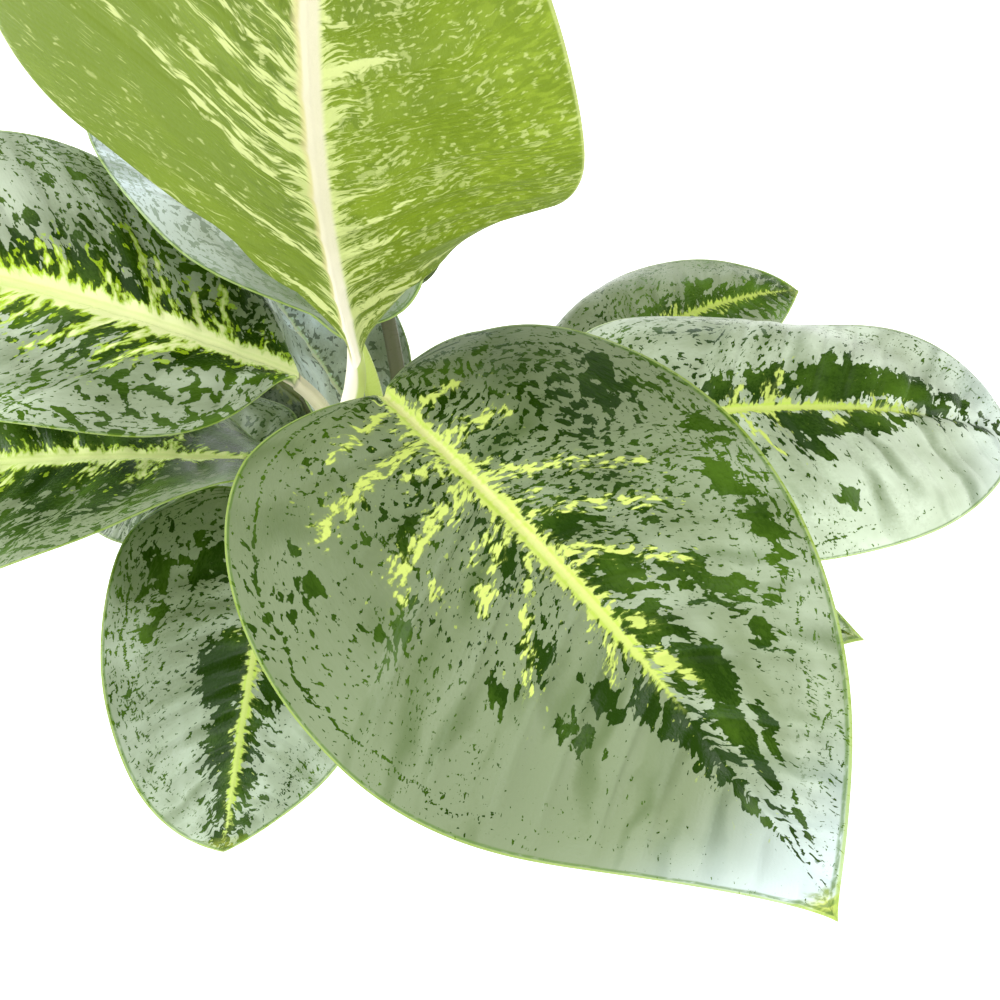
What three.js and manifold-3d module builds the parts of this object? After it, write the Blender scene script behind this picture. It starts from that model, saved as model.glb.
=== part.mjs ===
// Potted lemon mint Chinese evergreen (Aglaonema): a plain pot, potting soil, three short stems
// and fourteen leaves. Millimetres, +Z up, origin at the centre of the pot's flat underside.
// Each leaf is one solid: a sheathing petiole that clasps its stem and runs on into the midrib
// of a broad ovate blade. Headings are degrees counterclockwise from +X, seen from above.
import * as THREE from "three";
import { mergeVertices } from "three/addons/utils/BufferGeometryUtils.js";
import Module from "manifold-3d";

const wasm = await Module();
wasm.setup();

// Driving dimensions
const pot = {
  height: 115,
  footRadius: 48,
  shoulderRadius: 63,
  rimRadius: 67,
  rimHeight: 14,
  wall: 2,
  floor: 3,
  edgeRound: 1.5, // how far its corners are eased
  sides: 48,
  drainHoles: 6,
  drainRadius: 4,
  drainCircle: 34,
};
const soil = { depthBelowRim: 13, mound: 3, settled: 4, lump: 1.4, rings: 6 };
const clearance = 0.3; // between pieces that touch
const stem = { footRadius: 8, topRadius: 5.5, jointHeight: 0.5, sides: 10, steps: 8 };
const budLength = 26; // the pointed bud that ends each stem
const bud = [[0.35, 0.66], [0.7, 0.36], [1, 0.1]]; // shares of its length and of the stem's radius
const petiole = { footRadius: 4.6, midRadius: 3.2, neckRadius: 2.5, groove: 0.4, sides: 8, steps: 10 };
const seatOut = 1.5; // a petiole's foot is centred this far outside its stem before it is seated
const blade = { thickness: 0.8, ribDepth: 1.6, lobeSteps: 4, bodySteps: 8 };
const acrossSteps = [0, 0.07, 0.35, 0.7, 1]; // shares of the half width, midrib to margin
const firstVein = 0.2; // the share of the midrib that feeds the two basal lobes
const veinSweep = 1.3; // above 1, side veins leave the midrib squarely and curve forward
const furlReach = 0.18; // share of the length over which a furled base opens out
const waveTurns = 15; // radians of the margin's wave along the whole blade

// Stems, each a quadratic curve through the soil: root end, bend, top
const stems = {
  main: [[0, 4, 80], [-1, 2, 130], [2, -5, 172]],
  right: [[32, 14, 80], [36, 14, 118], [40, 10, 148]],
  left: [[-32, -6, 80], [-33, -6, 112], [-30, -6, 136]],
};

// Values that most leaves share. pitch is the midrib's rise at the blade's base and droop how far
// it has turned down at the tip; roll and twist turn the blade about its midrib; bend swings the
// heading; fold lifts both halves into a V, curl turns them down again towards the margin and
// furl is extra fold at the base; skew widens the left half; tip, lobe and wide shape the outline;
// knee is how much of the petiole turns into the blade; wave is the margin's rise and fall.
const usual = {
  stem: "main",
  roll: 0,
  twist: 0,
  bend: 0,
  fold: 10,
  curl: 20,
  furl: 0,
  skew: 0,
  tip: 0.13,
  lobe: 0.13,
  wide: 0.36,
  knee: 0.33,
  wave: 1.2,
};

// Each leaf: where its blade starts, how it lies, its size, and where its petiole leaves the stem
// (foot: share of the stem's length, and the side of the stem as a heading).
const leaves = {
  leaf_front: {
    base: [14.5, -59.5, 279], heading: -48.5, pitch: 3, droop: 50, roll: -3, twist: 42, bend: 7,
    length: 160, width: 110, fold: 4, curl: 5, furl: 3, skew: -0.13, tip: 0.08, lobe: 0.08,
    foot: [1, -30], knee: 0.12,
  },
  leaf_upright: {
    base: [7.5, -46.5, 279], heading: -88.5, pitch: 71.5, droop: 9, roll: 4, twist: -44, bend: 30,
    length: 179, width: 118, fold: 15, curl: -1, furl: 37, skew: -0.2, tip: 0.15, lobe: -0.01,
    wide: 0.26, foot: [1, -150], wave: 0.6,
  },
  leaf_left: {
    base: [-19, -3, 221], heading: 172, pitch: 27, droop: 26, roll: 23, twist: -57, bend: 5,
    length: 167, width: 99, fold: 13, curl: 49, skew: -0.18, tip: 0.14, lobe: -0.1, wide: 0.46,
    foot: [0.72, 180],
  },
  leaf_back_left: {
    base: [-5, 15, 224], heading: 129, pitch: 25, droop: 35, roll: 10, twist: 16,
    length: 148, width: 92, fold: 15, curl: 17, furl: 37, tip: 0.14, foot: [0.85, 95],
  },
  leaf_back: {
    base: [-14, 39, 154], heading: 133, pitch: 40, droop: 28, roll: 26, twist: 33,
    length: 150, width: 90, fold: 18, curl: -9, foot: [0.42, 130],
  },
  leaf_left_low: {
    base: [-38, -20, 202], heading: 180, pitch: 5, droop: 24, roll: 39, twist: -54,
    length: 151, width: 93, curl: 5, furl: -8, foot: [0.55, 225],
  },
  leaf_hanging: {
    base: [-28.5, -29, 191], heading: 271, pitch: -3, droop: 56, roll: -4, twist: -35, bend: -22,
    length: 112, width: 85, fold: 13, curl: 11, furl: -6, skew: -0.04, tip: 0.25,
    foot: [0.95, 270], stem: "left",
  },
  leaf_right: {
    base: [70, -21, 219], heading: 5.5, pitch: 10, droop: 45, roll: 5, twist: 6, bend: 6,
    length: 150, width: 98, fold: 13, curl: 66, furl: 10, tip: 0.26,
    foot: [0.95, -20], stem: "right",
  },
  leaf_right_back: {
    base: [59, 24, 184], heading: 33, pitch: 14, droop: 44, roll: -2, twist: 27,
    length: 122, width: 75, fold: 1, curl: 62, furl: -12, foot: [0.8, 30], stem: "right",
  },
  leaf_under_front: {
    base: [33, -41, 170], heading: -6, pitch: 10, droop: 30, bend: -5,
    length: 128, width: 72, tip: 0.11, foot: [0.6, -110], stem: "right",
  },
  leaf_under_left: {
    base: [-36, 15, 161], heading: 181, pitch: -9, droop: 44, twist: 4,
    length: 97, width: 61, foot: [0.7, 180], stem: "left",
  },
  leaf_rear: {
    base: [0, 54, 205], heading: 106, pitch: 21, droop: 40, roll: -5,
    length: 112, width: 62, foot: [0.36, 60],
  },
  leaf_rear_right: {
    base: [57, 40, 150], heading: 48, pitch: -4, droop: 28,
    length: 102, width: 64, foot: [0.5, 90], stem: "right",
  },
  leaf_rear_left: {
    base: [-37, 56, 142], heading: 140, pitch: 4, droop: 36, length: 110, width: 68, lobe: 0.36,
    foot: [0.6, 85], stem: "left",
  },
};

const radians = THREE.MathUtils.degToRad;
const vec = (p) => new THREE.Vector3(...p);

// A closed geometry from points and triangles
function solidGeometry(points, triangles) {
  const geometry = new THREE.BufferGeometry();
  const flat = points.flatMap((p) => [p.x, p.y, p.z]);
  geometry.setAttribute("position", new THREE.Float32BufferAttribute(flat, 3));
  geometry.setIndex(triangles.flat());
  return geometry;
}

// Rings of equally many points joined into a tube, with its two ends closed
function loft(rings) {
  const sides = rings[0].length;
  const points = rings.flat();
  const triangles = [];
  for (let k = 0; k < rings.length - 1; k++) {
    for (let i = 0; i < sides; i++) {
      const a = k * sides + i;
      const b = k * sides + ((i + 1) % sides);
      triangles.push([a, b, b + sides], [a, b + sides, a + sides]);
    }
  }
  [rings[0], rings.at(-1)].forEach((ring, end) => {
    const centre = ring.reduce((sum, p) => sum.add(p), new THREE.Vector3()).divideScalar(sides);
    const hub = points.push(centre) - 1;
    const first = end * (rings.length - 1) * sides;
    for (let i = 0; i < sides; i++) {
      const pair = [first + i, first + ((i + 1) % sides)];
      triangles.push(end ? [hub, ...pair] : [hub, pair[1], pair[0]]);
    }
  });
  return solidGeometry(points, triangles);
}

// Geometry to manifold-3d and back
function toManifold(geometry) {
  const bare = geometry.clone();
  bare.deleteAttribute("normal");
  bare.deleteAttribute("uv");
  const merged = mergeVertices(bare, 1e-4);
  return new wasm.Manifold(
    new wasm.Mesh({
      numProp: 3,
      vertProperties: merged.attributes.position.array,
      triVerts: new Uint32Array(merged.index.array),
    }),
  );
}

function toGeometry(manifold) {
  const mesh = manifold.getMesh();
  const geometry = new THREE.BufferGeometry();
  geometry.setAttribute("position", new THREE.BufferAttribute(mesh.vertProperties, 3));
  geometry.setIndex(new THREE.BufferAttribute(mesh.triVerts, 1));
  return geometry;
}

// Pot: a tapered shell with a stepped rim and drain holes round its floor
function potGeometry() {
  const { height, footRadius, shoulderRadius, rimRadius, rimHeight, wall, floor, edgeRound } = pot;
  const shoulder = height - rimHeight;
  const profile = [
    [0, 0],
    [footRadius - edgeRound, 0],
    [footRadius, edgeRound],
    [shoulderRadius, shoulder],
    [rimRadius - edgeRound, shoulder],
    [rimRadius, shoulder + edgeRound],
    [rimRadius, height - edgeRound],
    [rimRadius - edgeRound, height],
    [rimRadius - wall, height - edgeRound / 3],
    [shoulderRadius - wall, shoulder],
    [footRadius - wall, floor],
    [0, floor],
  ].map(([r, z]) => new THREE.Vector2(r, z));
  const shell = new THREE.LatheGeometry(profile, pot.sides).rotateX(Math.PI / 2);
  let body = toManifold(shell);
  for (let i = 0; i < pot.drainHoles; i++) {
    const angle = (2 * Math.PI * i) / pot.drainHoles;
    const drill = new THREE.CylinderGeometry(pot.drainRadius, pot.drainRadius, 4 * floor, 12)
      .rotateX(Math.PI / 2)
      .translate(pot.drainCircle * Math.cos(angle), pot.drainCircle * Math.sin(angle), 0);
    body = body.subtract(toManifold(drill));
  }
  return toGeometry(body);
}

// Inner radius of the pot's wall at a height, below its shoulder
function potInside(z) {
  const shoulder = pot.height - pot.rimHeight;
  const share = (z - pot.floor) / (shoulder - pot.floor);
  const foot = pot.footRadius - pot.wall;
  return foot + share * (pot.shoulderRadius - pot.wall - foot);
}

// Soil: fills the pot to below its rim, mounded and lumpy on top, with a plain hole for each stem
function soilGeometry() {
  const bottom = pot.floor + clearance;
  const top = pot.height - soil.depthBelowRim;
  const edge = potInside(top - soil.mound) - clearance;
  const topHeight = (x, y, share) =>
    top + soil.mound * (1 - share ** 2) - soil.mound * share ** 4 +
    soil.lump * share * (1 - share) * 4 * Math.sin(0.19 * x + 1) * Math.cos(0.23 * y);
  const ringAt = (radius, height) =>
    Array.from({ length: pot.sides }, (_, i) => {
      const angle = (2 * Math.PI * i) / pot.sides;
      const x = radius * Math.cos(angle);
      const y = radius * Math.sin(angle);
      return new THREE.Vector3(x, y, height(x, y));
    });
  const shoulder = top - soil.mound - soil.settled;
  const rings = [
    ringAt(potInside(bottom) - clearance, () => bottom),
    ringAt(potInside(shoulder) - clearance, () => shoulder),
  ];
  for (let k = soil.rings; k > 0; k--) {
    const share = k / soil.rings;
    rings.push(ringAt(edge * share, (x, y) => topHeight(x, y, share)));
  }
  let body = toManifold(loft(rings));
  for (const curve of Object.values(stems)) {
    body = body.subtract(toManifold(stemGeometry(curve, clearance)));
  }
  return toGeometry(body);
}

// A point on a stem and the stem's direction there, for a share of its length
function stemAt([root, bend, top], share) {
  const curve = new THREE.QuadraticBezierCurve3(vec(root), vec(bend), vec(top));
  return { point: curve.getPoint(share), along: curve.getTangent(share) };
}

const stemRadiusAt = (share) => THREE.MathUtils.lerp(stem.footRadius, stem.topRadius, share);

// Rings across a path: each has a centre, a direction, a sideways direction and a radius function
function ringAcross(centre, along, side, radiusAt, sides) {
  const a = side.clone().addScaledVector(along, -side.dot(along)).normalize();
  const b = along.clone().cross(a);
  return Array.from({ length: sides }, (_, i) => {
    const angle = (2 * Math.PI * i) / sides;
    const r = radiusAt(angle);
    return centre
      .clone()
      .addScaledVector(a, r * Math.cos(angle))
      .addScaledVector(b, r * Math.sin(angle));
  });
}

// Stem: a tapering shoot with ringed joints that ends in a pointed bud. grow thickens it all round.
function stemGeometry(curve, grow = 0) {
  const side = new THREE.Vector3(1, 0, 0);
  const rings = [];
  for (let k = 0; k <= stem.steps; k++) {
    const share = k / stem.steps;
    const { point, along } = stemAt(curve, share);
    const joint = k % 2 ? 0 : stem.jointHeight;
    if (k === 0) point.addScaledVector(along, -grow);
    rings.push(ringAcross(point, along, side, () => stemRadiusAt(share) + joint + grow, stem.sides));
  }
  const { point, along } = stemAt(curve, 1);
  for (const [rise, share] of bud) {
    const centre = point.clone().addScaledVector(along, rise * budLength + grow);
    rings.push(ringAcross(centre, along, side, () => share * stem.topRadius + grow, stem.sides));
  }
  return loft(rings);
}

// The midrib at a share of the blade's length: place, direction, left side and upper side
function midribAt(leaf, share) {
  const headingAt = (s) => radians(leaf.heading + leaf.bend * Math.max(s, 0));
  const pitchAt = (s) => radians(leaf.pitch - leaf.droop * s);
  const directionAt = (s) => {
    const flat = Math.cos(pitchAt(s));
    return new THREE.Vector3(
      flat * Math.cos(headingAt(s)),
      flat * Math.sin(headingAt(s)),
      Math.sin(pitchAt(s)),
    );
  };
  const place = vec(leaf.base);
  const steps = 24;
  for (let k = 0; k < steps; k++) {
    const middle = ((k + 0.5) / steps) * share;
    place.addScaledVector(directionAt(middle), (share * leaf.length) / steps);
  }
  const along = directionAt(share);
  const rise = Math.sin(pitchAt(share));
  const up = new THREE.Vector3(
    -rise * Math.cos(headingAt(share)),
    -rise * Math.sin(headingAt(share)),
    Math.cos(pitchAt(share)),
  );
  const eased = 1 - (1 - THREE.MathUtils.clamp(share, 0, 1)) ** 2;
  const turn = radians(leaf.roll + leaf.twist * eased);
  up.applyAxisAngle(along, turn);
  return { place, along, up, left: up.clone().cross(along) };
}

// The outline of one half: share of the half width, and share of the length, from base to tip.
// The first cubic rounds the basal lobe out to the widest place, the second runs in to the tip.
function halfOutline(leaf) {
  const flat = (x, y) => new THREE.Vector2(x, y);
  const lobe = new THREE.CubicBezierCurve(
    flat(0, 0), flat(0.52, -leaf.lobe), flat(1, 0.02), flat(1, leaf.wide),
  );
  const body = new THREE.CubicBezierCurve(
    flat(1, leaf.wide), flat(1, 0.66), flat(2 * leaf.tip, 0.87), flat(0, 1),
  );
  const outline = [];
  for (let k = 0; k <= blade.lobeSteps; k++) {
    const t = k / blade.lobeSteps;
    outline.push({ edge: lobe.getPoint(t), rib: firstVein * t ** 1.2 });
  }
  for (let k = 1; k <= blade.bodySteps; k++) {
    const t = k / blade.bodySteps;
    outline.push({ edge: body.getPoint(t), rib: firstVein + (1 - firstVein) * t });
  }
  return outline;
}

// A point of the blade's middle surface: off is millimetres from the midrib, along a section that
// leaves it at the fold angle and curls down towards the margin
function surfacePoint(leaf, share, off, side, margin) {
  const { place, left, up } = midribAt(leaf, share);
  const fold = radians(leaf.fold + leaf.furl * Math.exp(-Math.max(share, 0) / furlReach));
  const rate = radians(leaf.curl) / (leaf.width / 2);
  const out = (Math.sin(fold) - Math.sin(fold - rate * off)) / rate;
  const lift = (Math.cos(fold - rate * off) - Math.cos(fold)) / rate;
  const ripple = leaf.wave * margin ** 3 * Math.sin(waveTurns * share + 2 * side);
  return place.addScaledVector(left, side * out).addScaledVector(up, lift + ripple);
}

// Blade: the same grid of points on both faces, split into triangles alike, 0.8 mm apart,
// with a rib standing out below. Columns run across from left margin to right margin.
function bladeGeometry(leaf) {
  const outline = halfOutline(leaf);
  const rows = outline.length;
  const columns = [
    ...acrossSteps.slice(1).reverse().map((v) => ({ v, side: 1 })),
    ...acrossSteps.map((v) => ({ v, side: -1 })),
  ];
  const grid = columns.map(({ v, side }) =>
    outline.map(({ edge, rib }) => {
      const off = (edge.x * v * leaf.width * (1 + side * leaf.skew)) / 2;
      const share = rib + (edge.y - rib) * v ** veinSweep;
      return surfacePoint(leaf, share, Math.max(off, 1e-6), side, v * edge.x);
    }),
  );
  const points = [];
  const upAt = (i, j) => {
    if (j === 0 || j === rows - 1) return midribAt(leaf, j ? 1 : 0).up;
    const across = grid[Math.max(i - 1, 0)][j]
      .clone()
      .sub(grid[Math.min(i + 1, columns.length - 1)][j]);
    const onward = grid[i][j + 1].clone().sub(grid[i][j - 1]);
    return onward.cross(across).normalize();
  };
  const half = blade.thickness / 2;
  const index = [0, 1].map((under) =>
    columns.map(({ v }, i) =>
      outline.map(({ rib }, j) => {
        const ribHere = under && v === 0 && j > 0 ? blade.ribDepth * (1 - rib) : 0;
        const lift = under ? -half - ribHere : half;
        return points.push(grid[i][j].clone().addScaledVector(upAt(i, j), lift)) - 1;
      }),
    ),
  );
  // Every column ends in the same point at the blade's base and at its tip
  for (const face of index) {
    for (const column of face) {
      column[0] = face[0][0];
      column[rows - 1] = face[0][rows - 1];
    }
  }
  const triangles = [];
  const quad = (a, b, c, d) => {
    for (const corners of [[a, b, c], [a, c, d]]) {
      if (new Set(corners).size === 3) triangles.push(corners);
    }
  };
  for (let i = 0; i < columns.length - 1; i++) {
    for (let j = 0; j < rows - 1; j++) {
      const [top, under] = index.map((face) => [
        face[i][j], face[i + 1][j], face[i + 1][j + 1], face[i][j + 1],
      ]);
      quad(top[0], top[1], top[2], top[3]);
      triangles.push(
        ...[[under[0], under[2], under[1]], [under[0], under[3], under[2]]].filter(
          (corners) => new Set(corners).size === 3,
        ),
      );
    }
  }
  for (const [i, flip] of [[0, false], [columns.length - 1, true]]) {
    for (let j = 0; j < rows - 1; j++) {
      const [top, under] = index.map((face) => [face[i][j], face[i][j + 1]]);
      if (flip) quad(top[1], top[0], under[0], under[1]);
      else quad(top[0], top[1], under[1], under[0]);
    }
  }
  return solidGeometry(points, triangles);
}

// Petiole: rises along its stem, arches over and runs in under the blade's midrib. Its upper side
// is hollowed into the sheath's groove, deepest at the foot.
function petioleGeometry(leaf) {
  const [share, heading] = leaf.foot;
  const { point, along } = stemAt(stems[leaf.stem], share);
  const out = new THREE.Vector3(Math.cos(radians(heading)), Math.sin(radians(heading)), 0);
  const start = point.clone().addScaledVector(out, stemRadiusAt(share) + seatOut);
  const rise = along.clone().addScaledVector(out, 0.25).normalize();
  const neck = midribAt(leaf, 0.04);
  const end = neck.place.clone().addScaledVector(neck.up, -petiole.neckRadius * 0.7);
  const reach = start.distanceTo(end);
  const path = new THREE.CubicBezierCurve3(
    start,
    start.clone().addScaledVector(rise, 0.45 * reach),
    end.clone().addScaledVector(neck.along, -leaf.knee * reach),
    end,
  );
  const rings = [];
  for (let k = 0; k <= petiole.steps; k++) {
    const t = k / petiole.steps;
    const inward = out.clone().multiplyScalar(-1).lerp(neck.up, t);
    const slim = THREE.MathUtils.lerp(petiole.midRadius, petiole.neckRadius, t);
    const flare = (petiole.footRadius - petiole.midRadius) * Math.max(0, 1 - 3 * t) ** 2;
    const groove = petiole.groove * (1 - t);
    const radiusAt = (angle) =>
      (slim + flare) * (1 - groove * Math.max(0, Math.cos(angle)) ** 3);
    rings.push(ringAcross(path.getPoint(t), path.getTangent(t), inward, radiusAt, petiole.sides));
  }
  return loft(rings);
}

// Leaf: petiole and blade grown together, seated against the stem
function leafGeometry(leaf) {
  const seat = toManifold(stemGeometry(stems[leaf.stem], clearance));
  const grown = toManifold(petioleGeometry(leaf)).add(toManifold(bladeGeometry(leaf)));
  return toGeometry(grown.subtract(seat));
}

const looks = {
  pot: { color: "#3a3734", roughness: 0.6, metalness: 0 },
  soil: { color: "#2b1f17", roughness: 0.95, metalness: 0 },
  stem: { color: "#a9b07a", roughness: 0.55, metalness: 0 },
  leaf: { color: "#a3b797", roughness: 0.4, metalness: 0 },
  newLeaf: { color: "#8a9a3c", roughness: 0.5, metalness: 0 },
};

const plant = new THREE.Group();

function place(name, geometry, look) {
  const mesh = new THREE.Mesh(geometry, new THREE.MeshStandardMaterial(look));
  mesh.name = name;
  plant.add(mesh);
}

place("pot", potGeometry(), looks.pot);
place("soil", soilGeometry(), looks.soil);
for (const [name, curve] of Object.entries(stems)) {
  place("stem_" + name, stemGeometry(curve), looks.stem);
}
for (const [name, own] of Object.entries(leaves)) {
  const look = name === "leaf_upright" ? looks.newLeaf : looks.leaf;
  place(name, leafGeometry({ ...usual, ...own }), look);
}

export default plant;
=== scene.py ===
# %% [markdown]
# # Potted lemon mint Chinese evergreen
#
# The imported CAD model is the frame of this scene. It holds a pot, its soil, three stems and
# fourteen leaves as plain solids. Every cell below dresses one kind of piece: it builds a finer
# piece in the same place, gives it a finish made of shader nodes, and hides the node it replaces.
# All lengths are metres, in the frame of the CAD model, whose origin is under the pot.

# %% Load the frame
import math

import bpy
import numpy as np
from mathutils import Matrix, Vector


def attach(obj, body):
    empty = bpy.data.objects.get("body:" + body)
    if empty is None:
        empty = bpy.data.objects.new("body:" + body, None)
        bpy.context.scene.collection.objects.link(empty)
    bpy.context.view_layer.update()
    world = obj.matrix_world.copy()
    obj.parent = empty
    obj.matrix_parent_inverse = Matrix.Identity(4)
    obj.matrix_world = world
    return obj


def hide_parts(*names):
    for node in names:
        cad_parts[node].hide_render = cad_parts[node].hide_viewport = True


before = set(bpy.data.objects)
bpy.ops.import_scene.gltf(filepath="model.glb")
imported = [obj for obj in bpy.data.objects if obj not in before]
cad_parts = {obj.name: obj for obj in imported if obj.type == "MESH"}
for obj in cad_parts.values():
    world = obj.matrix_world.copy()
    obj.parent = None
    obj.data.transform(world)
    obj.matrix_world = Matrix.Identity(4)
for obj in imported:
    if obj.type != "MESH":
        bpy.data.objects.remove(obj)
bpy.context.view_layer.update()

MM = 0.001
print("nodes in the frame:", len(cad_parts))

# %% [markdown]
# ## Camera
#
# The photograph was taken from close above, so the nearest leaf looks far larger than the rest.
# One camera was fitted to the outlines of all the leaves: 55 degrees down, from 0.47 m above the
# table. A 39.6 mm lens on a square 36 mm sensor gives its view angle.

# %% Camera
camera_data = bpy.data.cameras.new("photo_camera")
camera_data.lens = 39.6
camera_data.sensor_width = 36
camera_data.clip_start = 0.01
camera = bpy.data.objects.new("photo_camera", camera_data)
camera.location = (0.0415, -0.224, 0.4717)
camera.rotation_euler = (math.radians(90 - 55), 0, 0)
bpy.context.collection.objects.link(camera)
bpy.context.scene.camera = camera
print("camera at", tuple(camera.location))

# %% [markdown]
# ## Shader helper
#
# A finish is easiest to read as arithmetic. A Wire wraps one output socket, and its operators add
# Math nodes, so `1 - mask * 0.5` is two nodes. Colours don't go through Math nodes, which would
# turn them grey. They are blended by Mix nodes, in `Finish.blend`.

# %% Wire and Finish
class Wire:
    """One output socket of a material, with arithmetic for plain values."""

    def __init__(self, finish, socket):
        self.finish = finish
        self.socket = socket

    def math(self, operation, first, second=0.0):
        return self.finish.node("ShaderNodeMath", {"operation": operation}, {0: first, 1: second})

    def __add__(self, other):
        return self.math("ADD", self, other)

    __radd__ = __add__

    def __mul__(self, other):
        return self.math("MULTIPLY", self, other)

    __rmul__ = __mul__

    def __sub__(self, other):
        return self.math("SUBTRACT", self, other)

    def __rsub__(self, other):
        return self.math("SUBTRACT", other, self)

    def __truediv__(self, other):
        return self.math("DIVIDE", self, other)

    def __pow__(self, other):
        return self.math("POWER", self, other)

    def most(self, other):
        return self.math("MAXIMUM", self, other)

    def least(self, other):
        return self.math("MINIMUM", self, other)

    def size(self):
        return self.math("ABSOLUTE", self)

    def wave(self):
        return self.math("SINE", self)

    def rise(self, low, high):
        """0 below low, 1 above high and a smooth step between them."""
        values = {"Value": self, "From Min": low, "From Max": high}
        return self.finish.node("ShaderNodeMapRange", {"interpolation_type": "SMOOTHSTEP"}, values)


class Finish:
    """A material under construction around one Principled shader."""

    def __init__(self, name, **constants):
        self.material = bpy.data.materials.new(name)
        self.material.use_nodes = True
        self.tree = self.material.node_tree
        self.shader = self.tree.nodes["Principled BSDF"]
        for socket, value in constants.items():
            self.shader.inputs[socket.replace("_", " ")].default_value = value

    def feed(self, socket, value):
        if isinstance(value, Wire):
            self.tree.links.new(value.socket, socket)
        else:
            socket.default_value = value

    def node(self, kind, settings, values, output=0):
        made = self.tree.nodes.new(kind)
        for name, setting in settings.items():
            setattr(made, name, setting)
        for name, value in values.items():
            self.feed(made.inputs[name], value)
        return Wire(self, made.outputs[output])

    def blend(self, first, second, share):
        values = {0: share, 6: first, 7: second}
        return self.node("ShaderNodeMix", {"data_type": "RGBA"}, values, output=2)

    def layers(self, colour, *coats):
        """Blends coats of (colour, share) over a colour, one after another."""
        for coat, share in coats:
            colour = self.blend(colour, coat, share)
        return colour

    def map_pair(self, name):
        """The two numbers that a mesh stores in the UV map of this name."""
        return self.parts(self.node("ShaderNodeUVMap", {"uv_map": name}, {}), 2)

    def place(self):
        """Where a point is on its object, in metres."""
        return self.node("ShaderNodeTexCoord", {}, {}, output=3)

    def parts(self, vector, count=3):
        return [self.node("ShaderNodeSeparateXYZ", {}, {0: vector}, output=k) for k in range(count)]

    def point(self, x, y, z):
        return self.node("ShaderNodeCombineXYZ", {}, {0: x, 1: y, 2: z})

    def noise(self, place, scale=1.0, detail=2.0, roughness=0.5):
        values = {"Vector": place, "Scale": scale, "Detail": detail, "Roughness": roughness}
        return self.node("ShaderNodeTexNoise", {"noise_dimensions": "3D"}, values)

    def bump(self, height, distance, strength=1.0):
        values = {"Height": height, "Distance": distance, "Strength": strength}
        return self.node("ShaderNodeBump", {}, values)

    def paint(self, **wires):
        for socket, wire in wires.items():
            self.feed(self.shader.inputs[socket.replace("_", " ")], wire)
        return self.material


def srgb(red, green, blue):
    """A colour as a painter reads it off a screen, 0 to 255, turned into linear light."""
    shares = [value / 255 for value in (red, green, blue)]
    linear = [s / 12.92 if s <= 0.04045 else ((s + 0.055) / 1.055) ** 2.4 for s in shares]
    return (*linear, 1.0)


print("a mid grey is", round(srgb(128, 128, 128)[0], 3), "in linear light")

# %% [markdown]
# ## Studio
#
# The plant stands on a plain pale floor under plain soft light. The silver of the leaves is
# brightest in the photograph where they face right and towards the viewer, so one main light is a
# window-like panel on that side. A second one stands on the left. Four weaker panels fill the rest,
# and the glossy leaves mirror them as a pale sheen. The stronger sheen on some of the leaves is
# painted into their colour.

# %% Floor, surround and light panels
scene = bpy.context.scene
scene.view_settings.view_transform = "Standard"
scene.view_settings.look = "None"

floor_finish = Finish("pale_floor", Roughness=0.9, Emission_Strength=0.55)
floor_finish.shader.inputs["Emission Color"].default_value = (1, 1, 1, 1)
floor_cloud = floor_finish.noise(floor_finish.place(), scale=6.0)
floor_colour = floor_finish.blend(srgb(250, 250, 250), srgb(246, 247, 247), floor_cloud)
floor_half = 4.0
floor_mesh = bpy.data.meshes.new("studio_floor")
floor_corners = [(x * floor_half, y * floor_half, 0) for x, y in ((-1, -1), (1, -1), (1, 1), (-1, 1))]
floor_mesh.from_pydata(floor_corners, [], [(0, 1, 2, 3)])
floor_mesh.materials.append(floor_finish.paint(Base_Color=floor_colour))
floor = bpy.data.objects.new("studio_floor", floor_mesh)
bpy.context.collection.objects.link(floor)

surround = bpy.data.worlds.new("surround")
surround.use_nodes = True
surround.node_tree.nodes["Background"].inputs["Color"].default_value = (0.98, 0.99, 1.0, 1)
surround.node_tree.nodes["Background"].inputs["Strength"].default_value = 0.4
scene.world = surround


def light_panel(name, place, aim, width, height, power, tint=(1, 1, 1)):
    light = bpy.data.lights.new(name, "AREA")
    light.shape = "RECTANGLE"
    light.size = width
    light.size_y = height
    light.energy = power
    light.color = tint
    panel = bpy.data.objects.new(name, light)
    panel.location = place
    panel.rotation_euler = (Vector(aim) - Vector(place)).to_track_quat("-Z", "Y").to_euler()
    bpy.context.collection.objects.link(panel)
    print(name, power, "W")


heart = (0, 0, 0.2)
light_panel("sky_panel", (-0.3, 0.4, 1.8), heart, 1.6, 1.6, 12)
light_panel("window_panel", (1.25, -0.9, 0.85), heart, 1.3, 1.0, 23, (0.96, 0.98, 1.0))
light_panel("low_panel", (0.1, -1.7, 0.2), heart, 1.0, 0.3, 5, (0.74, 0.87, 1.0))
light_panel("side_panel", (-1.2, -0.95, 0.75), heart, 1.0, 0.8, 10)
light_panel("left_panel", (-1.4, 0.35, 0.75), (-0.1, 0, 0.2), 0.9, 0.8, 22, (0.93, 0.97, 1.0))
light_panel("back_panel", (0.14, 1.6, 0.6), heart, 1.3, 0.5, 7, (0.88, 0.94, 1.0))

# %% [markdown]
# ## How a leaf lies
#
# A leaf of this plant is a petiole that clasps the stem, and a broad blade with a sunken midrib.
# Modelling fourteen blades by hand would be slow, and they would hardly match the CAD solids. So
# each one is a short list of measures: where the blade starts, how it points and droops, how it
# turns about its midrib, its size and its outline. The solids come from the same measures.

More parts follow.
